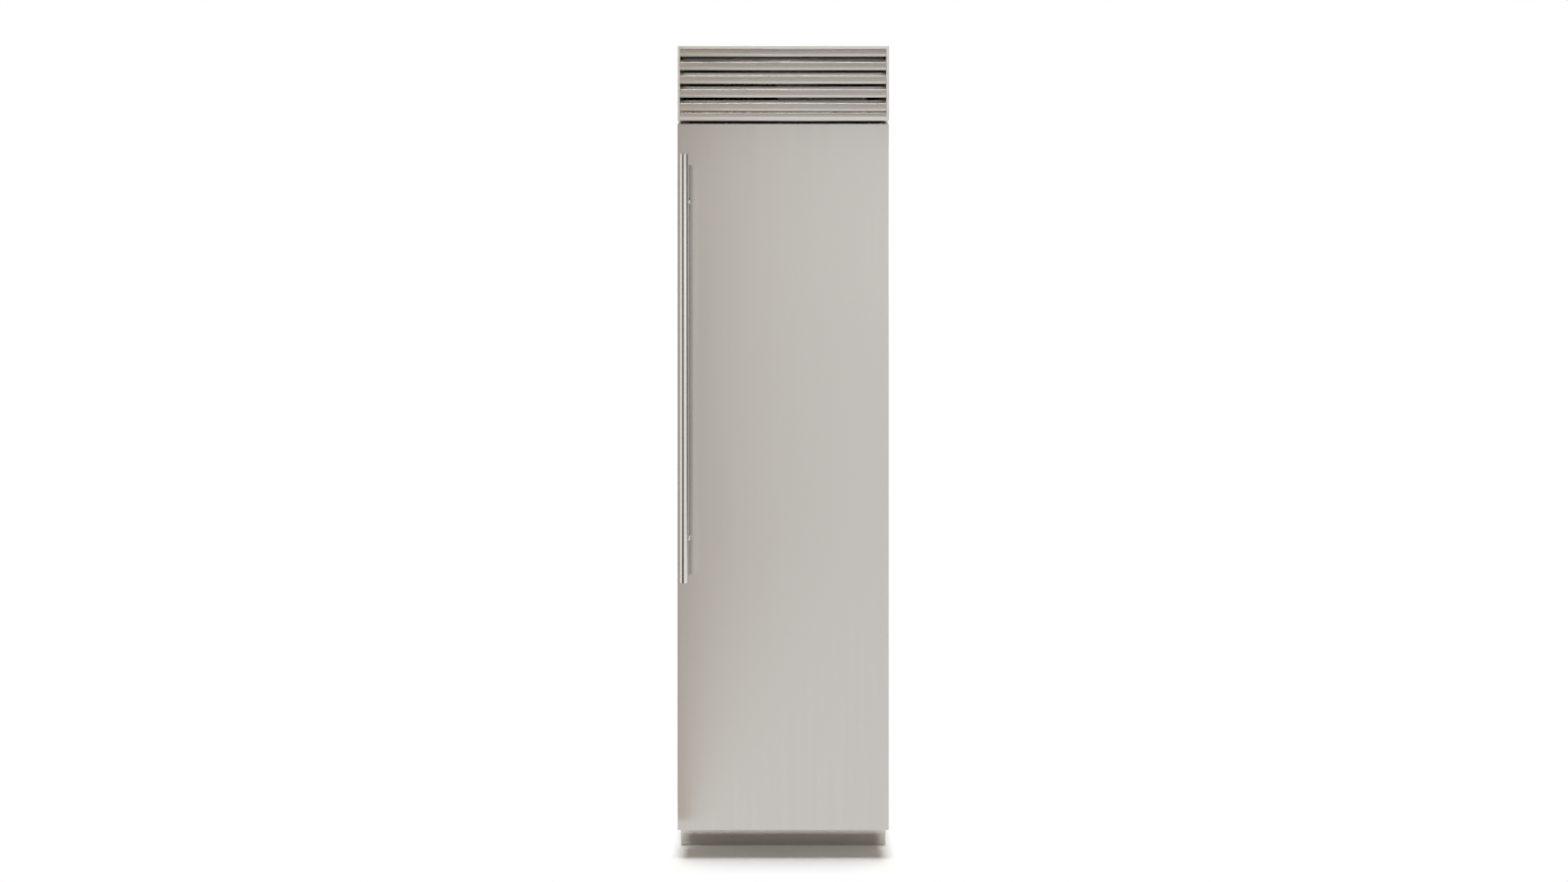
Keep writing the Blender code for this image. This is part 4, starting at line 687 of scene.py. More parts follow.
def make_piece(name, add, shapes, finish, body="cabinet", slot=None):
    """One piece from a list of shapes that the same helper adds."""
    sheet = bmesh.new()
    for shape in shapes:
        add(sheet, *shape)
    mesh = closed(name, sheet)
    mesh.shade_smooth()
    mesh.set_sharp_from_angle(angle=EASED)
    return finish_piece(bpy.data.objects.new(name, mesh), finish, body, slot)


def add_block(sheet, low, high, eased=0.0):
    """A box between two corners, with its edges eased."""
    low, high = Vector(low) * MM, Vector(high) * MM
    spot = Matrix.Translation((low + high) / 2) @ Matrix.Diagonal((*(high - low), 1.0))
    corners = bmesh.ops.create_cube(sheet, size=1.0, matrix=spot)["verts"]
    if eased:
        edges = list({edge for corner in corners for edge in corner.link_edges})
        bmesh.ops.bevel(
            sheet, geom=edges, offset=eased * MM, segments=2, profile=0.5, affect="EDGES"
        )


def add_turned(sheet, profile, base, along=UP, steps=32):
    """Spins (radius, height) points round a line that starts at the base."""
    base, along = Vector(base) * MM, Vector(along).normalized()
    turn = Vector(UP).rotation_difference(along)
    places = [base + turn @ Vector((reach, 0.0, rise)) * MM for reach, rise in profile]
    points = [sheet.verts.new(place) for place in places]
    edges = [sheet.edges.new(pair) for pair in zip(points, points[1:])]
    bmesh.ops.spin(
        sheet,
        geom=points + edges,
        cent=base,
        axis=along,
        angle=2 * math.pi,
        steps=steps,
        use_merge=True,
    )


def add_skin(sheet, rings, endless=False):
    """Quads between rings of points; the first and last are capped, or meet if it is endless."""
    rows = [[sheet.verts.new(Vector(point) * MM) for point in ring] for ring in rings]
    for lower, upper in zip(rows, rows[1:] + rows[:1] if endless else rows[1:]):
        for here in range(len(lower)):
            sheet.faces.new((lower[here - 1], lower[here], upper[here], upper[here - 1]))
    if not endless:
        sheet.faces.new(rows[0])
        sheet.faces.new(rows[-1])


def add_strip(sheet, section, low_x, high_x):
    """Draws a closed (y, z) section from one x to the other."""
    add_skin(sheet, [[(x, y, z) for y, z in section] for x in (low_x, high_x)])


print("shape helpers ready")

# %% [markdown]
# ## Screws
# A pan-head screw with a six-lobe socket holds almost everything here. The head is a stack of
# rings, from the rim over the dome into the socket, and a ring's lobes are a cosine on its radius.
# All screws of one place are one piece.

# %% Screws
HEAD_STEPS = 24
HEAD_LOBES = 6
# The share of the radius, of the height and of the lobes on each ring.
HEAD_RINGS = (
    (1.0, 0.0, 0.0), (1.0, 0.45, 0.0), (0.8, 0.85, 0.0), (0.52, 1.0, 0.0), (0.46, 1.0, 0.14),
    (0.42, 0.4, 0.14),
)


def full_turn(steps):
    """The angles of a full turn in equal steps."""
    return [2 * math.pi * step / steps for step in range(steps)]


def add_screw(sheet, base, facing, radius, height):
    """A pan head that stands on the base point."""
    turn = Vector(UP).rotation_difference(Vector(facing))
    rings = []
    for radius_share, height_share, lobe_share in HEAD_RINGS:
        ring = []
        for angle in full_turn(HEAD_STEPS):
            reach = radius * radius_share * (1 + lobe_share * math.cos(HEAD_LOBES * angle))
            flat = (reach * math.cos(angle), reach * math.sin(angle), height * height_share)
            ring.append(Vector(base) + turn @ Vector(flat))
        rings.append(ring)
    add_skin(sheet, rings)


def screws(name, bases, facing, radius, height, body="cabinet"):
    """One piece with a zinc-plated screw head at each base."""
    heads = [(base, facing, radius, height) for base in bases]
    make_piece(name, add_screw, heads, zinc_plate, body)


print("a screw head has", HEAD_STEPS * len(HEAD_RINGS), "points")

# %% [markdown]
# ## Bent tube
# Pipes and leads are curves with a round bevel. A tube bender makes straight runs joined by arcs,
# so the route is a list of corners, and each corner is rounded by a short quadratic curve.

# %% Bent tube
BEND_STEPS = 6


def bent(corners, bend):
    """The corners of a route with each inner corner rounded."""
    corners = [Vector(corner) for corner in corners]
    route = [corners[0]]
    for before, corner, after in zip(corners, corners[1:], corners[2:]):
        start = corner + (before - corner).normalized() * bend
        end = corner + (after - corner).normalized() * bend
        for step in range(BEND_STEPS + 1):
            share = step / BEND_STEPS
            route.append(start.lerp(corner, share).lerp(corner.lerp(end, share), share))
    route.append(corners[-1])
    return route


def tube(name, routes, radius, finish, slot=None, ring=False):
    """A round tube along each route, fixed to the cabinet; a ring closes on itself."""
    curve = bpy.data.curves.new(name, "CURVE")
    curve.dimensions = "3D"
    curve.bevel_depth = radius * MM
    curve.bevel_resolution = 4
    curve.use_fill_caps = True
    for route in routes:
        spline = curve.splines.new("POLY")
        spline.use_cyclic_u = ring
        spline.points.add(len(route) - 1)
        for point, place in zip(spline.points, route):
            point.co = (*(Vector(place) * MM), 1.0)
    finish_piece(bpy.data.objects.new(name, curve), finish, "cabinet", slot)


print("tube helpers ready")

# %% [markdown]
# ## The door gasket
# A freezer door seals with a hollow vinyl extrusion: a foot held in the liner, a bellows that
# gives, and a flat face with a magnet in it. Four lengths are welded at the corners. So one section
# runs round a rectangle, and each of its points makes a mitred ring. It stands for the plain solid.

# %% Door gasket
# How far each point of the section lies inside the outline, and behind its front.
GASKET_SECTION = (
    (4.5, 0.0), (11.5, 0.0), (12.5, 1.6), (10.0, 2.6), (14.5, 5.0), (12.6, 6.6), (15.4, 7.4),
    (16.0, 8.2), (16.0, 10.6), (15.2, 11.4), (0.8, 11.4), (0.0, 10.6), (0.0, 8.2), (0.6, 7.4),
    (3.4, 6.6), (1.5, 5.0), (6.0, 2.6), (3.5, 1.6),
)
low, high = in_mm(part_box("door_seal"))
loops = []
for inset, rise in GASKET_SECTION:
    left, right, bottom, top = low.x + inset, high.x - inset, low.z + inset, high.z - inset
    corners = ((left, bottom), (right, bottom), (right, top), (left, top))
    loops.append([(x, low.y + rise, z) for x, z in corners])
door_gasket = make_piece("door_gasket", add_skin, [(loops, True)], seal_grey, "door")
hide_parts("door_seal")
print("gasket section", len(GASKET_SECTION), "points")

# %% [markdown]
# ## Shelves
# A shelf is a plate of float glass with ground edges that is pushed into an aluminium front rail.
# The solid has them in one. Here the rail is a strip drawn through its real section, with a slot
# for the glass and an apron in front, and a thin white strip protects the rear edge.

# %% Shelves
GLASS_THICKNESS = 5
GLASS_PLAY = 0.2
RAIL_WALL = 2.3
RAIL_DEPTH = 10
RAIL_NOSE = 2.5
GUARD_DEPTH = 9


def rail_section(front, low, high, slot_low, slot_high):
    """The (y, z) section of a shelf's front rail."""
    arc = []
    for step in range(5):
        angle = math.pi / 2 * (1 + step / 4)
        y = front + RAIL_NOSE + RAIL_NOSE * math.cos(angle)
        arc.append((y, high - RAIL_NOSE + RAIL_NOSE * math.sin(angle)))
    inner, back = front + RAIL_WALL, front + RAIL_DEPTH
    return [
        (back, high), *arc, (front, low + 0.8), (front + 0.8, low), (inner, low),
        (inner, slot_low - 1.5), (back, slot_low - 1.5), (back, slot_low),
        (inner + 0.4, slot_low), (inner + 0.4, slot_high), (back, slot_high),
    ]


for number in (1, 2, 3):
    node = f"glass_shelf_{number}"
    low, high = in_mm(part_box(node))
    slot_high = high.z - 0.8
    slot_low = slot_high - GLASS_THICKNESS - 2 * GLASS_PLAY
    section = rail_section(low.y, low.z, high.z, slot_low, slot_high)
    rail = (section, low.x, high.x)
    make_piece(f"shelf_rail_{number}", add_strip, [rail], trim_aluminium)
    glass_low = slot_low + GLASS_PLAY
    glass_high = glass_low + GLASS_THICKNESS
    glass_front = low.y + RAIL_WALL + 0.6
    glass = ((low.x, glass_front, glass_low), (high.x, high.y - 1, glass_high), 0.7)
    shelf_plate = make_piece(f"shelf_plate_{number}", add_block, [glass], shelf_glass)
    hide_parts(node)
    guard = ((low.x, high.y - GUARD_DEPTH, slot_low), (high.x, high.y, slot_high + 0.6), 0.5)
    make_piece(f"shelf_rear_guard_{number}", add_block, [guard], white_abs)
print("shelf glass starts at", round(glass_low, 1), "mm")

# %% [markdown]
# ## Bins and drawers
# Each clear bin and each clear drawer front wears an anodised strip over its top edge, where hands
# take hold of it. The strip is a folded sheet, a little wider outside than inside.

# %% Bin and drawer trims
TRIM_SHEET = 0.8
TRIM_CHAMFER = 0.3
TRIM_SETBACK = 4
BIN_WALL = 3
FRONT_PANE = 8


def cap_section(inside, outside, top, apron, tuck):
    """The (y, z) section of a sheet folded over an edge; outside may be to either side."""
    way = 1 if outside > inside else -1
    inner, outer, high = inside - way * TRIM_SHEET, outside + way * TRIM_SHEET, top + TRIM_SHEET
    return [
        (outer, high - apron), (outer, high - TRIM_CHAMFER), (outer - way * TRIM_CHAMFER, high),
        (inner, high), (inner, high - tuck), (inside, high - tuck), (inside, top), (outside, top),
        (outside, high - apron),
    ]


for number in (1, 2, 3):
    low, high = in_mm(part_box(f"door_bin_{number}"))
    section = cap_section(high.y - BIN_WALL, high.y, high.z, apron=18, tuck=7)
    trim = (section, low.x + TRIM_SETBACK, high.x - TRIM_SETBACK)
    make_piece(f"bin_trim_{number}", add_strip, [trim], trim_aluminium, "door")
for number in (1, 2):
    low, high = in_mm(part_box(f"drawer_front_{number}"))
    section = cap_section(high.y, high.y - FRONT_PANE, high.z, apron=10, tuck=6)
    trim = (section, low.x + TRIM_SETBACK, high.x - TRIM_SETBACK)
    make_piece(f"drawer_trim_{number}", add_strip, [trim], trim_aluminium, f"drawer_{number}")
print("trims on 3 bins and 2 drawers")

# %% [markdown]
# ## Inside the cabinet
# Small mouldings finish the cavity: end caps on the light bars, a frame round each set of air
# slots, caps over the screws of the air duct, and the control panel under the ceiling with a dark
# touch glass and three keys.

# %% Light bar caps
CAP_LENGTH = 11
CAP_WALL = 0.8
for side, left_wall, right_wall in (("left", 0.0, CAP_WALL), ("right", CAP_WALL, 0.0)):
    low, high = in_mm(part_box(f"light_bar_{side}"))
    caps = []
    for foot in (low.z - 2, high.z + 2 - CAP_LENGTH):
        start = (low.x - left_wall, low.y - CAP_WALL, foot)
        caps.append((start, (high.x + right_wall, high.y + CAP_WALL, foot + CAP_LENGTH), 1.2))
    make_piece(f"light_caps_{side}", add_block, caps, white_abs)
print("light caps on both sides")

# %% Control panel
KEY_PROFILE = ((0.0, 0.5), (1.8, 0.5), (2.2, 0.0), (0.0, 0.0))
liner_low, liner_high = in_mm(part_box("inner_liner"))
ceiling_z, panel_y = liner_high.z - 2, liner_low.y + 22
panel = ((-92, panel_y, ceiling_z - 11), (92, panel_y + 62, ceiling_z - 0.1), 3)
make_piece("control_panel", add_block, [panel], white_abs)
touch = ((-70, panel_y - 0.6, ceiling_z - 9.4), (70, panel_y + 1, ceiling_z - 2.6), 0.4)
make_piece("control_touch_glass", add_block, [touch], black_enamel, slot="black_plastic")
keys = [(KEY_PROFILE, (x, panel_y - 0.5, ceiling_z - 6), FRONT) for x in (-28, 0, 28)]
make_piece("control_keys", add_turned, keys, white_abs)
print("control panel at", round(ceiling_z, 1), "mm")

# %% Duct frames and caps
SLOT_ROWS = 5
SLOT_PITCH = 16
SLOT_WIDTH = 120
SLOT_HEIGHT = 6
SLOT_RISE = 60
FRAME_RIM = 9
FRAME_BAR = 4
FRAME_PROUD = 1.6
CAP_PROFILE = ((0.0, 2.4), (4.6, 2.2), (6.0, 1.2), (6.4, 0.0), (0.0, 0.0))
CAP_HEIGHTS = (220, 620, 1020, 1360, 1740, 1900)

duct_low, duct_high = in_mm(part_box("duct_cover"))
half = SLOT_WIDTH / 2 + FRAME_RIM
frame_y, rib_y = duct_low.y - FRAME_PROUD, duct_low.y - FRAME_PROUD / 2
for number in (1, 2, 3):
    slots_z = in_mm(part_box(f"glass_shelf_{number}"))[1].z - 6 + SLOT_RISE
    low_z = slots_z - FRAME_RIM
    high_z = slots_z + (SLOT_ROWS - 1) * SLOT_PITCH + SLOT_HEIGHT + FRAME_RIM
    bars = []
    for left, foot, right, top in (
        (-half, low_z, half, low_z + FRAME_BAR),
        (-half, high_z - FRAME_BAR, half, high_z),
        (-half, low_z + FRAME_BAR, FRAME_BAR - half, high_z - FRAME_BAR),
        (half - FRAME_BAR, low_z + FRAME_BAR, half, high_z - FRAME_BAR),
    ):
        bars.append(((left, frame_y, foot), (right, duct_low.y, top), 0.6))
    for row in range(SLOT_ROWS - 1):
        rib_z = slots_z + row * SLOT_PITCH + SLOT_HEIGHT + 3
        start = (FRAME_BAR - half, rib_y, rib_z)
        bars.append((start, (half - FRAME_BAR, duct_low.y, rib_z + FRAME_BAR), 0.4))
    make_piece(f"air_frame_{number}", add_block, bars, white_abs)
sides = (duct_low.x + 16, duct_high.x - 16)
caps = [(CAP_PROFILE, (x, duct_low.y, z), FRONT) for z in CAP_HEIGHTS for x in sides]
make_piece("duct_screw_caps", add_turned, caps, white_abs)
print("air frames 3, caps", len(caps))

# %% [markdown]
# ## Hinge and handle hardware
# Two screws hold each hinge bracket on the front frame, and a small pin screw in the side of each
# post secures the handle bar.

# %% Hinge and handle hardware
pins = []
for end in ("top", "bottom"):
    low, high = in_mm(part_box(f"hinge_bracket_{end}"))
    flange_z = low.z + 9 if end == "top" else high.z - 9
    bases = [(low.x + inset, high.y - 4, flange_z) for inset in (11, 35)]
    screws(f"hinge_screws_{end}", bases, FRONT, 4.2, 2.4)
    low, high = in_mm(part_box(f"handle_post_{end}"))
    middle = (low + high) / 2
    pins.append((middle.x + 6.8, middle.y + 4, middle.z))
screws("post_pin_screws", pins, RIGHT, 2.2, 0.8, "door")
print("hinge screws 4, pins", len(pins))

# %% [markdown]
# ## Behind the grille
# A folded black baffle closes the gap between the cabinet and the grille, so the fan can't draw its
# own warm air, and its black is painted shade that keeps the slit over the door dark. A rubber flap
# closes the gap at the top. The arms of the grille have shoulder screws, and two black catches hold
# its lower edge.

# %% Baffle, catches and arm screws
BAFFLE_SHEET = 1
grille_low, grille_high = in_mm(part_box("grille_frame"))
tray_low, tray_high = in_mm(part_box("machine_tray"))
cover_low, cover_high = in_mm(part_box("machine_cover"))
deck_z, shelf_z = tray_low.z + 1.3, tray_high.z + 1.3
front_y, back_y = cover_low.y + 1, tray_low.y + 2.5
baffle_section = (
    (back_y, deck_z), (back_y, shelf_z + BAFFLE_SHEET),
    (front_y + BAFFLE_SHEET, shelf_z + BAFFLE_SHEET), (front_y + BAFFLE_SHEET, shelf_z + 11),
    (front_y, shelf_z + 11), (front_y, shelf_z), (back_y - BAFFLE_SHEET, shelf_z),
    (back_y - BAFFLE_SHEET, deck_z),
)
baffle = (baffle_section, tray_low.x + 6.5, tray_high.x - 6.5)
# The baffle's black plastic paints shade into the slit over the door.
make_piece("air_baffle", add_strip, [baffle], black_plastic)

reach = grille_high.x - 10
flap = (
    (-reach, grille_low.y + 8.3, grille_high.z - 10.2),
    (reach, grille_low.y + 18, grille_high.z - 8.6),
)
make_piece("grille_top_flap", add_block, [flap], black_rubber, "grille")

catches = []
outer = grille_high.x - 6.8
for left, right in ((-outer, 9 - outer), (outer - 9, outer)):
    start = (left, grille_high.y - 17, grille_low.z + 12)
    catches.append((start, (right, grille_high.y - 2, grille_low.z + 34), 1.2))
make_piece("grille_catches", add_block, catches, black_plastic, "grille")

for side, inner, facing in (("left", 1, RIGHT), ("right", 0, LEFT)):
    box = in_mm(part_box(f"grille_arm_{side}"))
    middle_z = (box[0].z + box[1].z) / 2
    bases = [(box[inner].x, box[1].y - inset, middle_z) for inset in (6, 16)]
    screws(f"grille_arm_screws_{side}", bases, facing, 3.0, 1.6)
print("baffle, catches and arm screws made")

# %% [markdown]
# ## Condenser and evaporator tubes
# Refrigerant runs to and fro through the fins in one tube, with a half turn at each end. The bender
# leaves a radius of eight millimetres, so the rows are sixteen apart. One function lays such a
# serpentine through both fin blocks.

# %% Serpentines
ROW_PITCH = 16
COIL_TUBE = 2.6


def serpentine(low, high, y, rows, overhang):
    """The route of a tube that crosses a fin block once for each row, from the bottom up."""
    corners = []
    first_z = (low.z + high.z - (rows - 1) * ROW_PITCH) / 2
    ends = (low.x - overhang, high.x + overhang)
    for row in range(rows):
        row_z = first_z + row * ROW_PITCH
        here = row % 2
        corners += [(ends[1 - here], y, row_z), (ends[here], y, row_z)]
    return bent(corners, ROW_PITCH / 2)


low, high = in_mm(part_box("condenser"))
coils = [serpentine(low, high, low.y + depth, 9, 8) for depth in (14, 32)]
tube("condenser_tubes", coils, COIL_TUBE, black_enamel)
low, high = in_mm(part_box("evaporator"))
coils = [serpentine(low, high, low.y + depth, 15, 14) for depth in (12, 32)]
tube("evaporator_tubes", coils, COIL_TUBE, mill_aluminium)
print("coil rows 9 and 15")

# %% [markdown]
# ## The compressor's fittings
# The can is pressed from two halves and welded round the middle, which leaves a raised bead. A
# cover hides the terminals and the overload switch, rubber grommets under bolts take up the shake,
# and the suction line goes down into the cabinet in a thick foam sleeve.

# %% Compressor fittings
CAN_RADIUS = 78
FOOT_PLATE = 17
BEAD = (
    (CAN_RADIUS - 1, -3), (CAN_RADIUS + 1.6, -2), (CAN_RADIUS + 2.2, 0), (CAN_RADIUS + 1.6, 2),
    (CAN_RADIUS - 1, 3), (CAN_RADIUS - 1, -3),
)
GROMMET = (
    (12.2, 0.5), (14.6, 0.5), (14.6, 5), (13.2, 6.5), (14.6, 8), (14.6, 13.4), (12.2, 13.4),
    (12.2, 0.5),
)
WASHER = ((0.0, 1.2), (9, 1.2), (9, 0.0), (0.0, 0.0))
HEXAGON_HEAD = ((0.0, 6), (4.6, 6), (5.6, 5.4), (5.6, 1.2), (0.0, 1.2))
SLEEVE = 7
SLEEVE_RING = ((SLEEVE, 0), (SLEEVE + 5, 0), (SLEEVE + 4, 3), (SLEEVE, 3.5), (SLEEVE, 0))

low, high = in_mm(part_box("compressor"))
can_x, can_y, plate_z = (low.x + high.x) / 2, (low.y + high.y) / 2, low.z
seam = (BEAD, (can_x, can_y, plate_z + 72), UP, 96)
make_piece("compressor_seam", add_turned, [seam], black_enamel)

cover_y = can_y - CAN_RADIUS
terminals = [
    ((can_x - 26, cover_y - 20, plate_z + 28), (can_x + 26, cover_y + 12, plate_z + 82), 4),
    ((can_x - 30, cover_y - 14, plate_z + 44), (can_x + 30, cover_y - 8, plate_z + 66), 2),
]
make_piece("compressor_terminal_cover", add_block, terminals, black_plastic)

grommets, bolts = [], []
foot_reach = (high.x - low.x) / 2 - 15
for x in (can_x - foot_reach, can_x + foot_reach):
    for y in (can_y - foot_reach, can_y + foot_reach):
        grommets.append((GROMMET, (x, y, plate_z)))
        bolt = (x, y, plate_z + FOOT_PLATE)
        bolts += [(WASHER, bolt), (HEXAGON_HEAD, bolt, UP, 6)]
make_piece("compressor_grommets", add_turned, grommets, black_rubber)
make_piece("compressor_bolts", add_turned, bolts, zinc_plate)

line_x, line_y, line_z = can_x - 130, can_y + 24, plate_z + 92
through_tray = (line_x, line_y, plate_z - 0.6)
suction = ((can_x - 70, line_y, line_z), (line_x, line_y, line_z), through_tray)
tube("suction_sleeve", [bent(suction, 28)], SLEEVE, black_rubber)
pinched_x, pinched_y = can_x - 58, can_y - 88
process = (
    (can_x - 40, can_y - 62, plate_z + 40), (pinched_x, pinched_y, plate_z + 40),
    (pinched_x, pinched_y, plate_z + 96),
)
tube("process_tube", [bent(process, 10)], 3, copper)
make_piece("suction_grommet", add_turned, [(SLEEVE_RING, through_tray)], black_rubber)
print("compressor at", round(can_x, 1), round(can_y, 1), "mm")

# %% [markdown]
# ## Fan guard, drier and wiring
# A wire guard of four rings and four spokes keeps fingers out of the fan. From the condenser the
# liquid passes a copper drier and leaves through a capillary. Two jacketed leads run along the
# tray from the control box, each held by clips, because a loose lead would end up in the fan.

# %% Fan guard
SHROUD_DEPTH = 36
WIRE = 0.9
GUARD_RINGS = (30, 42, 54, 68)
SPOKE_ENDS = (29, 70)
RING_STEPS = 64

shroud_low, shroud_high = in_mm(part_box("condenser_fan_shroud"))
condenser_low, condenser_high = in_mm(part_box("condenser"))
middle = (condenser_low + condenser_high) / 2
wall_y = condenser_high.y + 0.3 + SHROUD_DEPTH


def round_fan(reach, angle, lift):
    """A point round the fan's axis, lifted off the wall by so many wires."""
    x, z = reach * math.cos(angle), reach * math.sin(angle)
    return Vector((middle.x + x, wall_y + lift * WIRE, middle.z + z))


rings = [[round_fan(reach, angle, 1) for angle in full_turn(RING_STEPS)] for reach in GUARD_RINGS]
tube("fan_guard_rings", rings, WIRE, zinc_plate, ring=True)
spoke_angles = [math.pi / 4 + angle for angle in full_turn(4)]
spokes = [[round_fan(reach, angle, 3) for reach in SPOKE_ENDS] for angle in spoke_angles]
tube("fan_guard_spokes", spokes, WIRE, zinc_plate)


def plate_corners(low, high, inset, y):
    """Four screw places, set in from the corners of an upright plate."""
    sides, levels = (low.x + inset, high.x - inset), (low.z + inset, high.z - inset)
    return [(x, y, z) for x in sides for z in levels]


corners = plate_corners(shroud_low, shroud_high, 12, wall_y)
screws("shroud_screws", corners, BACK, 3.6, 2.0)
print("fan guard behind", round(wall_y, 1), "mm")

# %% Drier and capillary
DRIER_PROFILE = (
    (0, -16), (3.4, -16), (3.6, -8), (7, -2), (11, 4), (11, 76), (7, 82), (3.0, 88), (2.4, 96),
    (0, 96),
)
deck_z = condenser_low.z
drier_x, drier_y, drier_z = middle.x + 12, wall_y + 52, deck_z + 14
drier = (DRIER_PROFILE, (drier_x, drier_y, drier_z), BACK, 40)
make_piece("filter_drier", add_turned, [drier], copper)

out_x, out_y = condenser_high.x + 7.9, condenser_low.y + 32
first_z = middle.z - 4 * ROW_PITCH
liquid = (
    (out_x, out_y, first_z), (out_x + 8, out_y, first_z), (out_x + 8, drier_y - 34, first_z),
    (drier_x, drier_y - 34, drier_z), (drier_x, drier_y - 12, drier_z),
)
tube("liquid_line", [bent(liquid, 8)], 3, copper)
turn_y, down_x = drier_y + 128, drier_x + 60
capillary = (
    (drier_x, drier_y + 92, drier_z), (drier_x, turn_y, drier_z), (down_x, turn_y, drier_z),
    (down_x, turn_y, deck_z - 0.6),
)
tube("capillary", [bent(capillary, 10)], 1.3, copper)
cradle = [
    ((drier_x - 15, y, deck_z - 0.6), (drier_x + 15, y + 8, deck_z + 10), 1)
    for y in (drier_y + 16, drier_y + 60)
]
make_piece("drier_cradle", add_block, cradle, black_plastic)
print("drier at", round(drier_x, 1), round(drier_y, 1), "mm")

# %% Control box fittings and leads
RIB_PITCH = 10
LEAD = 3.2
GLAND = ((0.0, 12), (LEAD, 12), (6, 9), (7.5, 7), (7.5, 0.0), (0.0, 0.0))

low, high = in_mm(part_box("control_box"))
screws("control_box_screws", plate_corners(low, high, 10, low.y), FRONT, 3.4, 1.8)
ribs = []
for number in range(6):
    rib_z = low.z + 26 + number * RIB_PITCH
    for x in (low.x, high.x):
        ribs.append(((x - 0.8, low.y + 14, rib_z), (x + 0.8, high.y - 14, rib_z + 4), 0.5))
make_piece("control_box_vent_hoods", add_block, ribs, grey_coat)

lead_z, gland_z = low.z + LEAD, low.z + 18
fan_gland, can_gland = (low.x, high.y - 18, gland_z), (high.x - 30, high.y, gland_z)
glands = [(GLAND, fan_gland, LEFT, 12), (GLAND, can_gland, BACK, 12)]
make_piece("control_box_glands", add_turned, glands, black_plastic)
fan_x, fan_y = fan_gland[0] - 26, fan_gland[1]
motor_x, motor_y = shroud_high.x + 20, shroud_high.y + 14
fan_lead = (
    fan_gland, (fan_x, fan_y, gland_z), (fan_x, fan_y, lead_z), (motor_x, fan_y, lead_z),
    (motor_x, motor_y, lead_z), (middle.x, motor_y, lead_z), (middle.x, motor_y, middle.z),
    (middle.x, shroud_high.y - 2, middle.z),
)
lead_x, lead_y = can_gland[0], can_gland[1] + 26
can_lead = (
    can_gland, (lead_x, lead_y, gland_z), (lead_x, lead_y, lead_z),
    (lead_x, cover_y - 52, lead_z), (can_x, cover_y - 52, lead_z), (can_x, cover_y - 34, lead_z),
    (can_x, cover_y - 34, low.z + 40), (can_x, cover_y - 19, low.z + 40),
)
leads = [bent(fan_lead, 11), bent(can_lead, 11)]
tube("wiring_harness", leads, LEAD, black_rubber, "black_plastic")
clips = []
for x, y, half_x, half_y in (
    (motor_x + 24, fan_y, 3, 5),
    (motor_x, shroud_high.y - 10, 5, 3),
    (middle.x + 60, motor_y, 3, 5),
    (lead_x, high.y + 70, 5, 3),
):
    start = (x - half_x, y - half_y, lead_z - LEAD - 0.6)
    clips.append((start, (x + half_x, y + half_y, lead_z + LEAD + 1.4), 1.2))
make_piece("wiring_clips", add_block, clips, nylon)
print("leads on the tray at", round(lead_z, 1), "mm")

# %% Switch marks
low, high = in_mm(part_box("power_switch"))
mark_z = (low.z + high.z) / 2
line_mark = (
    (low.x + 5, low.y - 0.25, mark_z - 3), (low.x + 6, low.y + 0.3, mark_z + 3), 0.1
)
ring_mark = ((2.2, -0.3), (3.0, -0.3), (3.0, 0.25), (2.2, 0.25), (2.2, -0.3))


def add_marks(sheet, line, ring, ring_base):
    """The line and the ring of the rocker, a block and a turned body in one piece."""
    add_block(sheet, *line)
    add_turned(sheet, ring, ring_base, FRONT)


marks = (line_mark, ring_mark, (high.x - 6, low.y, mark_z))
make_piece("switch_marks", add_marks, [marks], white_abs, "power_switch")
print("switch marks ride on the rocker")

# %% [markdown]
# ## Feet and rollers
# Each levelling foot has a moulded hexagon for a spanner and a lock nut under the frame. The rear
# rollers turn on pins with riveted heads.

# %% Feet and rollers
STEM = 5
FOOT_HEXAGON = (
    (STEM, 11), (10, 11), (11, 12), (11, 19), (9.6, 20), (STEM, 20), (STEM, 11),
)
LOCK_NUT = (
    (STEM + 0.5, 0), (7.8, 0), (8.7, 0.8), (8.7, 5.2), (7.8, 6), (STEM + 0.5, 6), (STEM + 0.5, 0),
)
RIVET_HEAD = ((0.0, 1.6), (2.6, 1.4), (4.2, 0.6), (4.4, 0.0), (0.0, 0.0))

nut_z = in_mm(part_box("base_frame"))[0].z - 6.3
for side in ("left", "right"):
    foot = f"front_foot_{side}"
    low, high = in_mm(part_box(foot))
    foot_x, foot_y = (low.x + high.x) / 2, (low.y + high.y) / 2
    hexagon = (FOOT_HEXAGON, (foot_x, foot_y, low.z), UP, 6)
    make_piece(f"foot_hexagon_{side}", add_turned, [hexagon], black_plastic, foot)
    nut = (LOCK_NUT, (foot_x, foot_y, nut_z), UP, 6)
    make_piece(f"foot_lock_nut_{side}", add_turned, [nut], zinc_plate)
    low, high = in_mm(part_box(f"roller_fork_{side}"))
    wheel_low, wheel_high = in_mm(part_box(f"rear_roller_{side}"))
    axle = (wheel_low + wheel_high) / 2
    heads = [
        (RIVET_HEAD, (low.x, axle.y, axle.z), LEFT),
        (RIVET_HEAD, (high.x, axle.y, axle.z), RIGHT),
    ]
    make_piece(f"roller_pin_heads_{side}", add_turned, heads, zinc_plate)
print("feet and rollers fitted")

# %% [markdown]
# ## Case screws and plugs
# The case is screwed together along its front flange and along the rear edge, and the pressed
# openings for the foam nozzles are closed with plastic plugs. The heads are low, because a built-in
# appliance slides past cupboards with a few millimetres to spare.

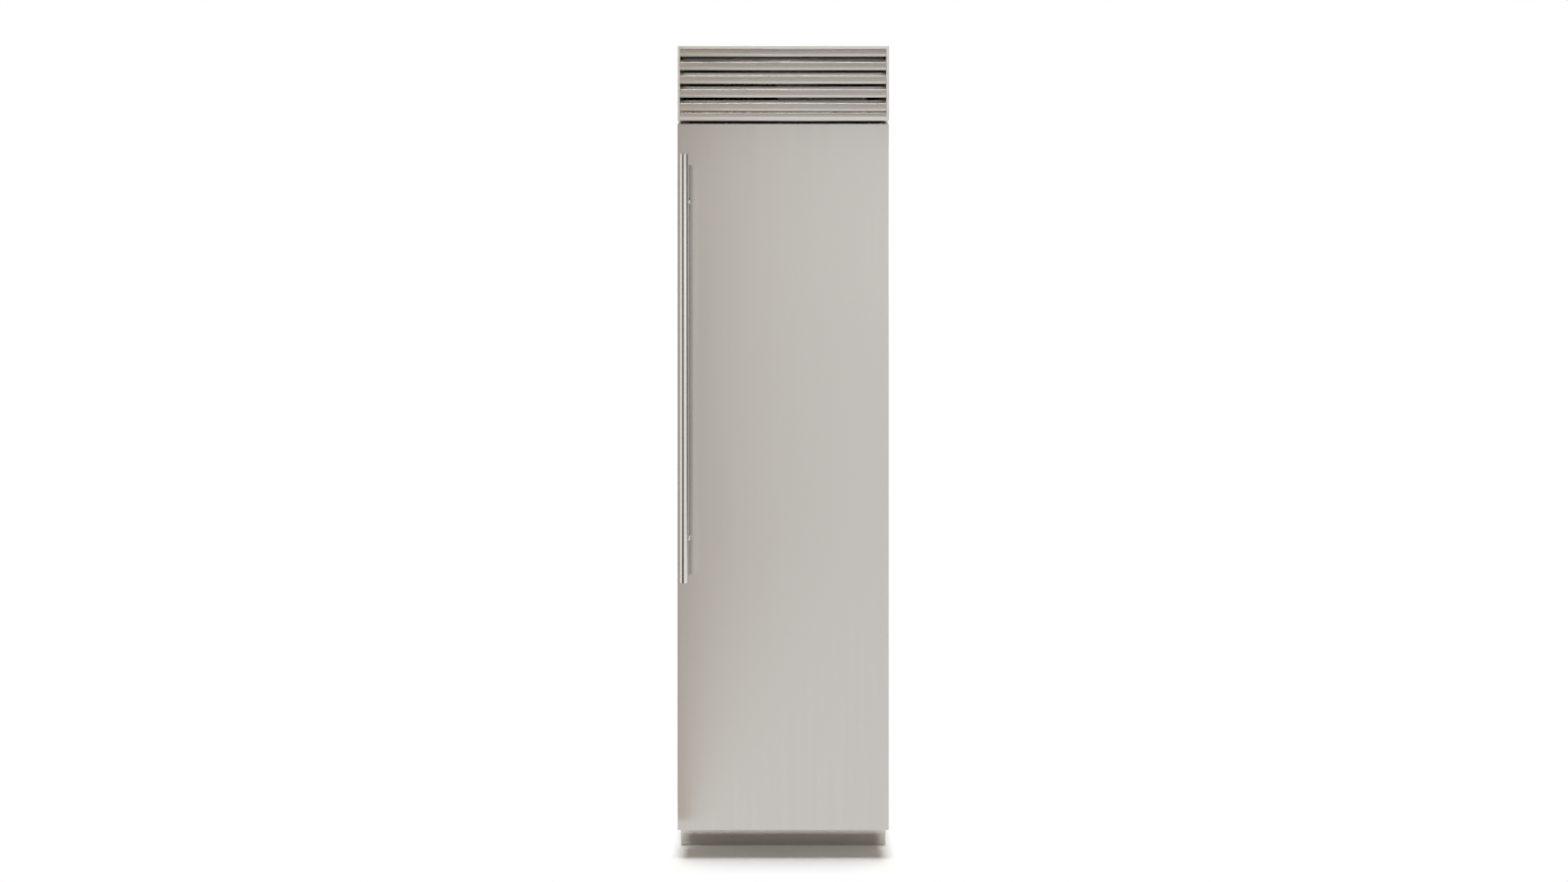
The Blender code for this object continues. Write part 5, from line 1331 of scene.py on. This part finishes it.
# %% Case screws and plugs
FLAT_HEAD = 0.8
SCREW_ROWS = 7
SCREW_PITCH = 297
PLUG_PROFILE = ((0.0, 0.7), (7, 0.7), (9.4, 0.5), (10, 0.0), (0.0, 0.0))
PLUG_HEIGHTS = (420, 1780)

case_low, case_high = in_mm(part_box("case_wrapper"))
cover_screws = (cover_low.y + 22, (cover_low.y + cover_high.y) / 2, cover_high.y - 14)
for side, wall_x, facing in (("left", -case_high.x, LEFT), ("right", case_high.x, RIGHT)):
    bases = []
    for row in range(SCREW_ROWS):
        row_z = case_low.z + 60 + row * SCREW_PITCH
        bases += [(wall_x, case_low.y + 12, row_z), (wall_x, case_high.y - 10, row_z)]
    bases += [(wall_x, y, cover_low.z + 14) for y in cover_screws]
    screws(f"case_screws_{side}", bases, facing, 4.2, FLAT_HEAD)
    plugs = [(PLUG_PROFILE, (wall_x, case_high.y - 90, z), facing) for z in PLUG_HEIGHTS]
    make_piece(f"foam_plugs_{side}", add_turned, plugs, black_plastic)
print("case screws and plugs")

# %% [markdown]
# ## The rear panel
# A flat sheet of this size would drum, so it is pressed with shallow beads, and its screws sit in
# dimples so that nothing stands proud of the wall side. The panel starts as a copy of the plain
# sheet, and one boolean takes beads and dimples out of its outer face.

# %% Rear panel
BEAD_DEPTH = 0.6
BEAD_HALF_WIDTH = 7
BEAD_COLUMNS = (-160, 0, 160)
DIMPLE_DEPTH = 1.0
# A cone that is 8 mm in radius at the sheet's face and goes on past it.
DIMPLE = ((0.0, 0.0), (5.5, 0.0), (13, 3), (0.0, 3))
PANEL_ROWS = 8
CLEAR_OF_PANEL = 5

panel_low, panel_high = in_mm(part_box("rear_panel"))
tools = bmesh.new()
bead_y, clear_y = panel_high.y - BEAD_DEPTH, panel_high.y + CLEAR_OF_PANEL
for x in BEAD_COLUMNS:
    start = (x - BEAD_HALF_WIDTH, bead_y, panel_low.z + 120)
    add_block(tools, start, (x + BEAD_HALF_WIDTH, clear_y, panel_low.z + 1780), 0.5)
panel_screws = []
row_pitch = (panel_high.z - panel_low.z - 40) / (PANEL_ROWS - 1)
for row in range(PANEL_ROWS):
    # The middle bead leaves room for a middle screw only in the first and the last row.
    middle_column = (0.0,) if row in (0, PANEL_ROWS - 1) else ()
    for x in (panel_low.x + 14, *middle_column, panel_high.x - 14):
        base = (x, panel_high.y - DIMPLE_DEPTH, panel_low.z + 20 + row * row_pitch)
        add_turned(tools, DIMPLE, base, BACK)
        panel_screws.append(base)
press_tools = bpy.data.objects.new("press_tools", closed("press_tools", tools))
sheet = bpy.data.objects.new("pressed_sheet", welded("rear_panel"))
for made in (press_tools, sheet):
    bpy.context.scene.collection.objects.link(made)
press = sheet.modifiers.new("press", "BOOLEAN")
press.operation = "DIFFERENCE"
press.solver = "EXACT"
press.object = press_tools
evaluated = sheet.evaluated_get(bpy.context.evaluated_depsgraph_get())
pressed = bpy.data.meshes.new_from_object(evaluated)
for made in (press_tools, sheet):
    bpy.data.objects.remove(made)
pressed.set_sharp_from_angle(angle=EASED)
rear = bpy.data.objects.new("rear_panel_pressed", pressed)
finish_piece(rear, galvanised, "cabinet")
weigh_normals(rear)
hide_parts("rear_panel")
screws("rear_panel_screws", panel_screws, BACK, 4.0, DIMPLE_DEPTH)
print("rear panel has", len(pressed.polygons), "faces and", len(panel_screws), "screws")
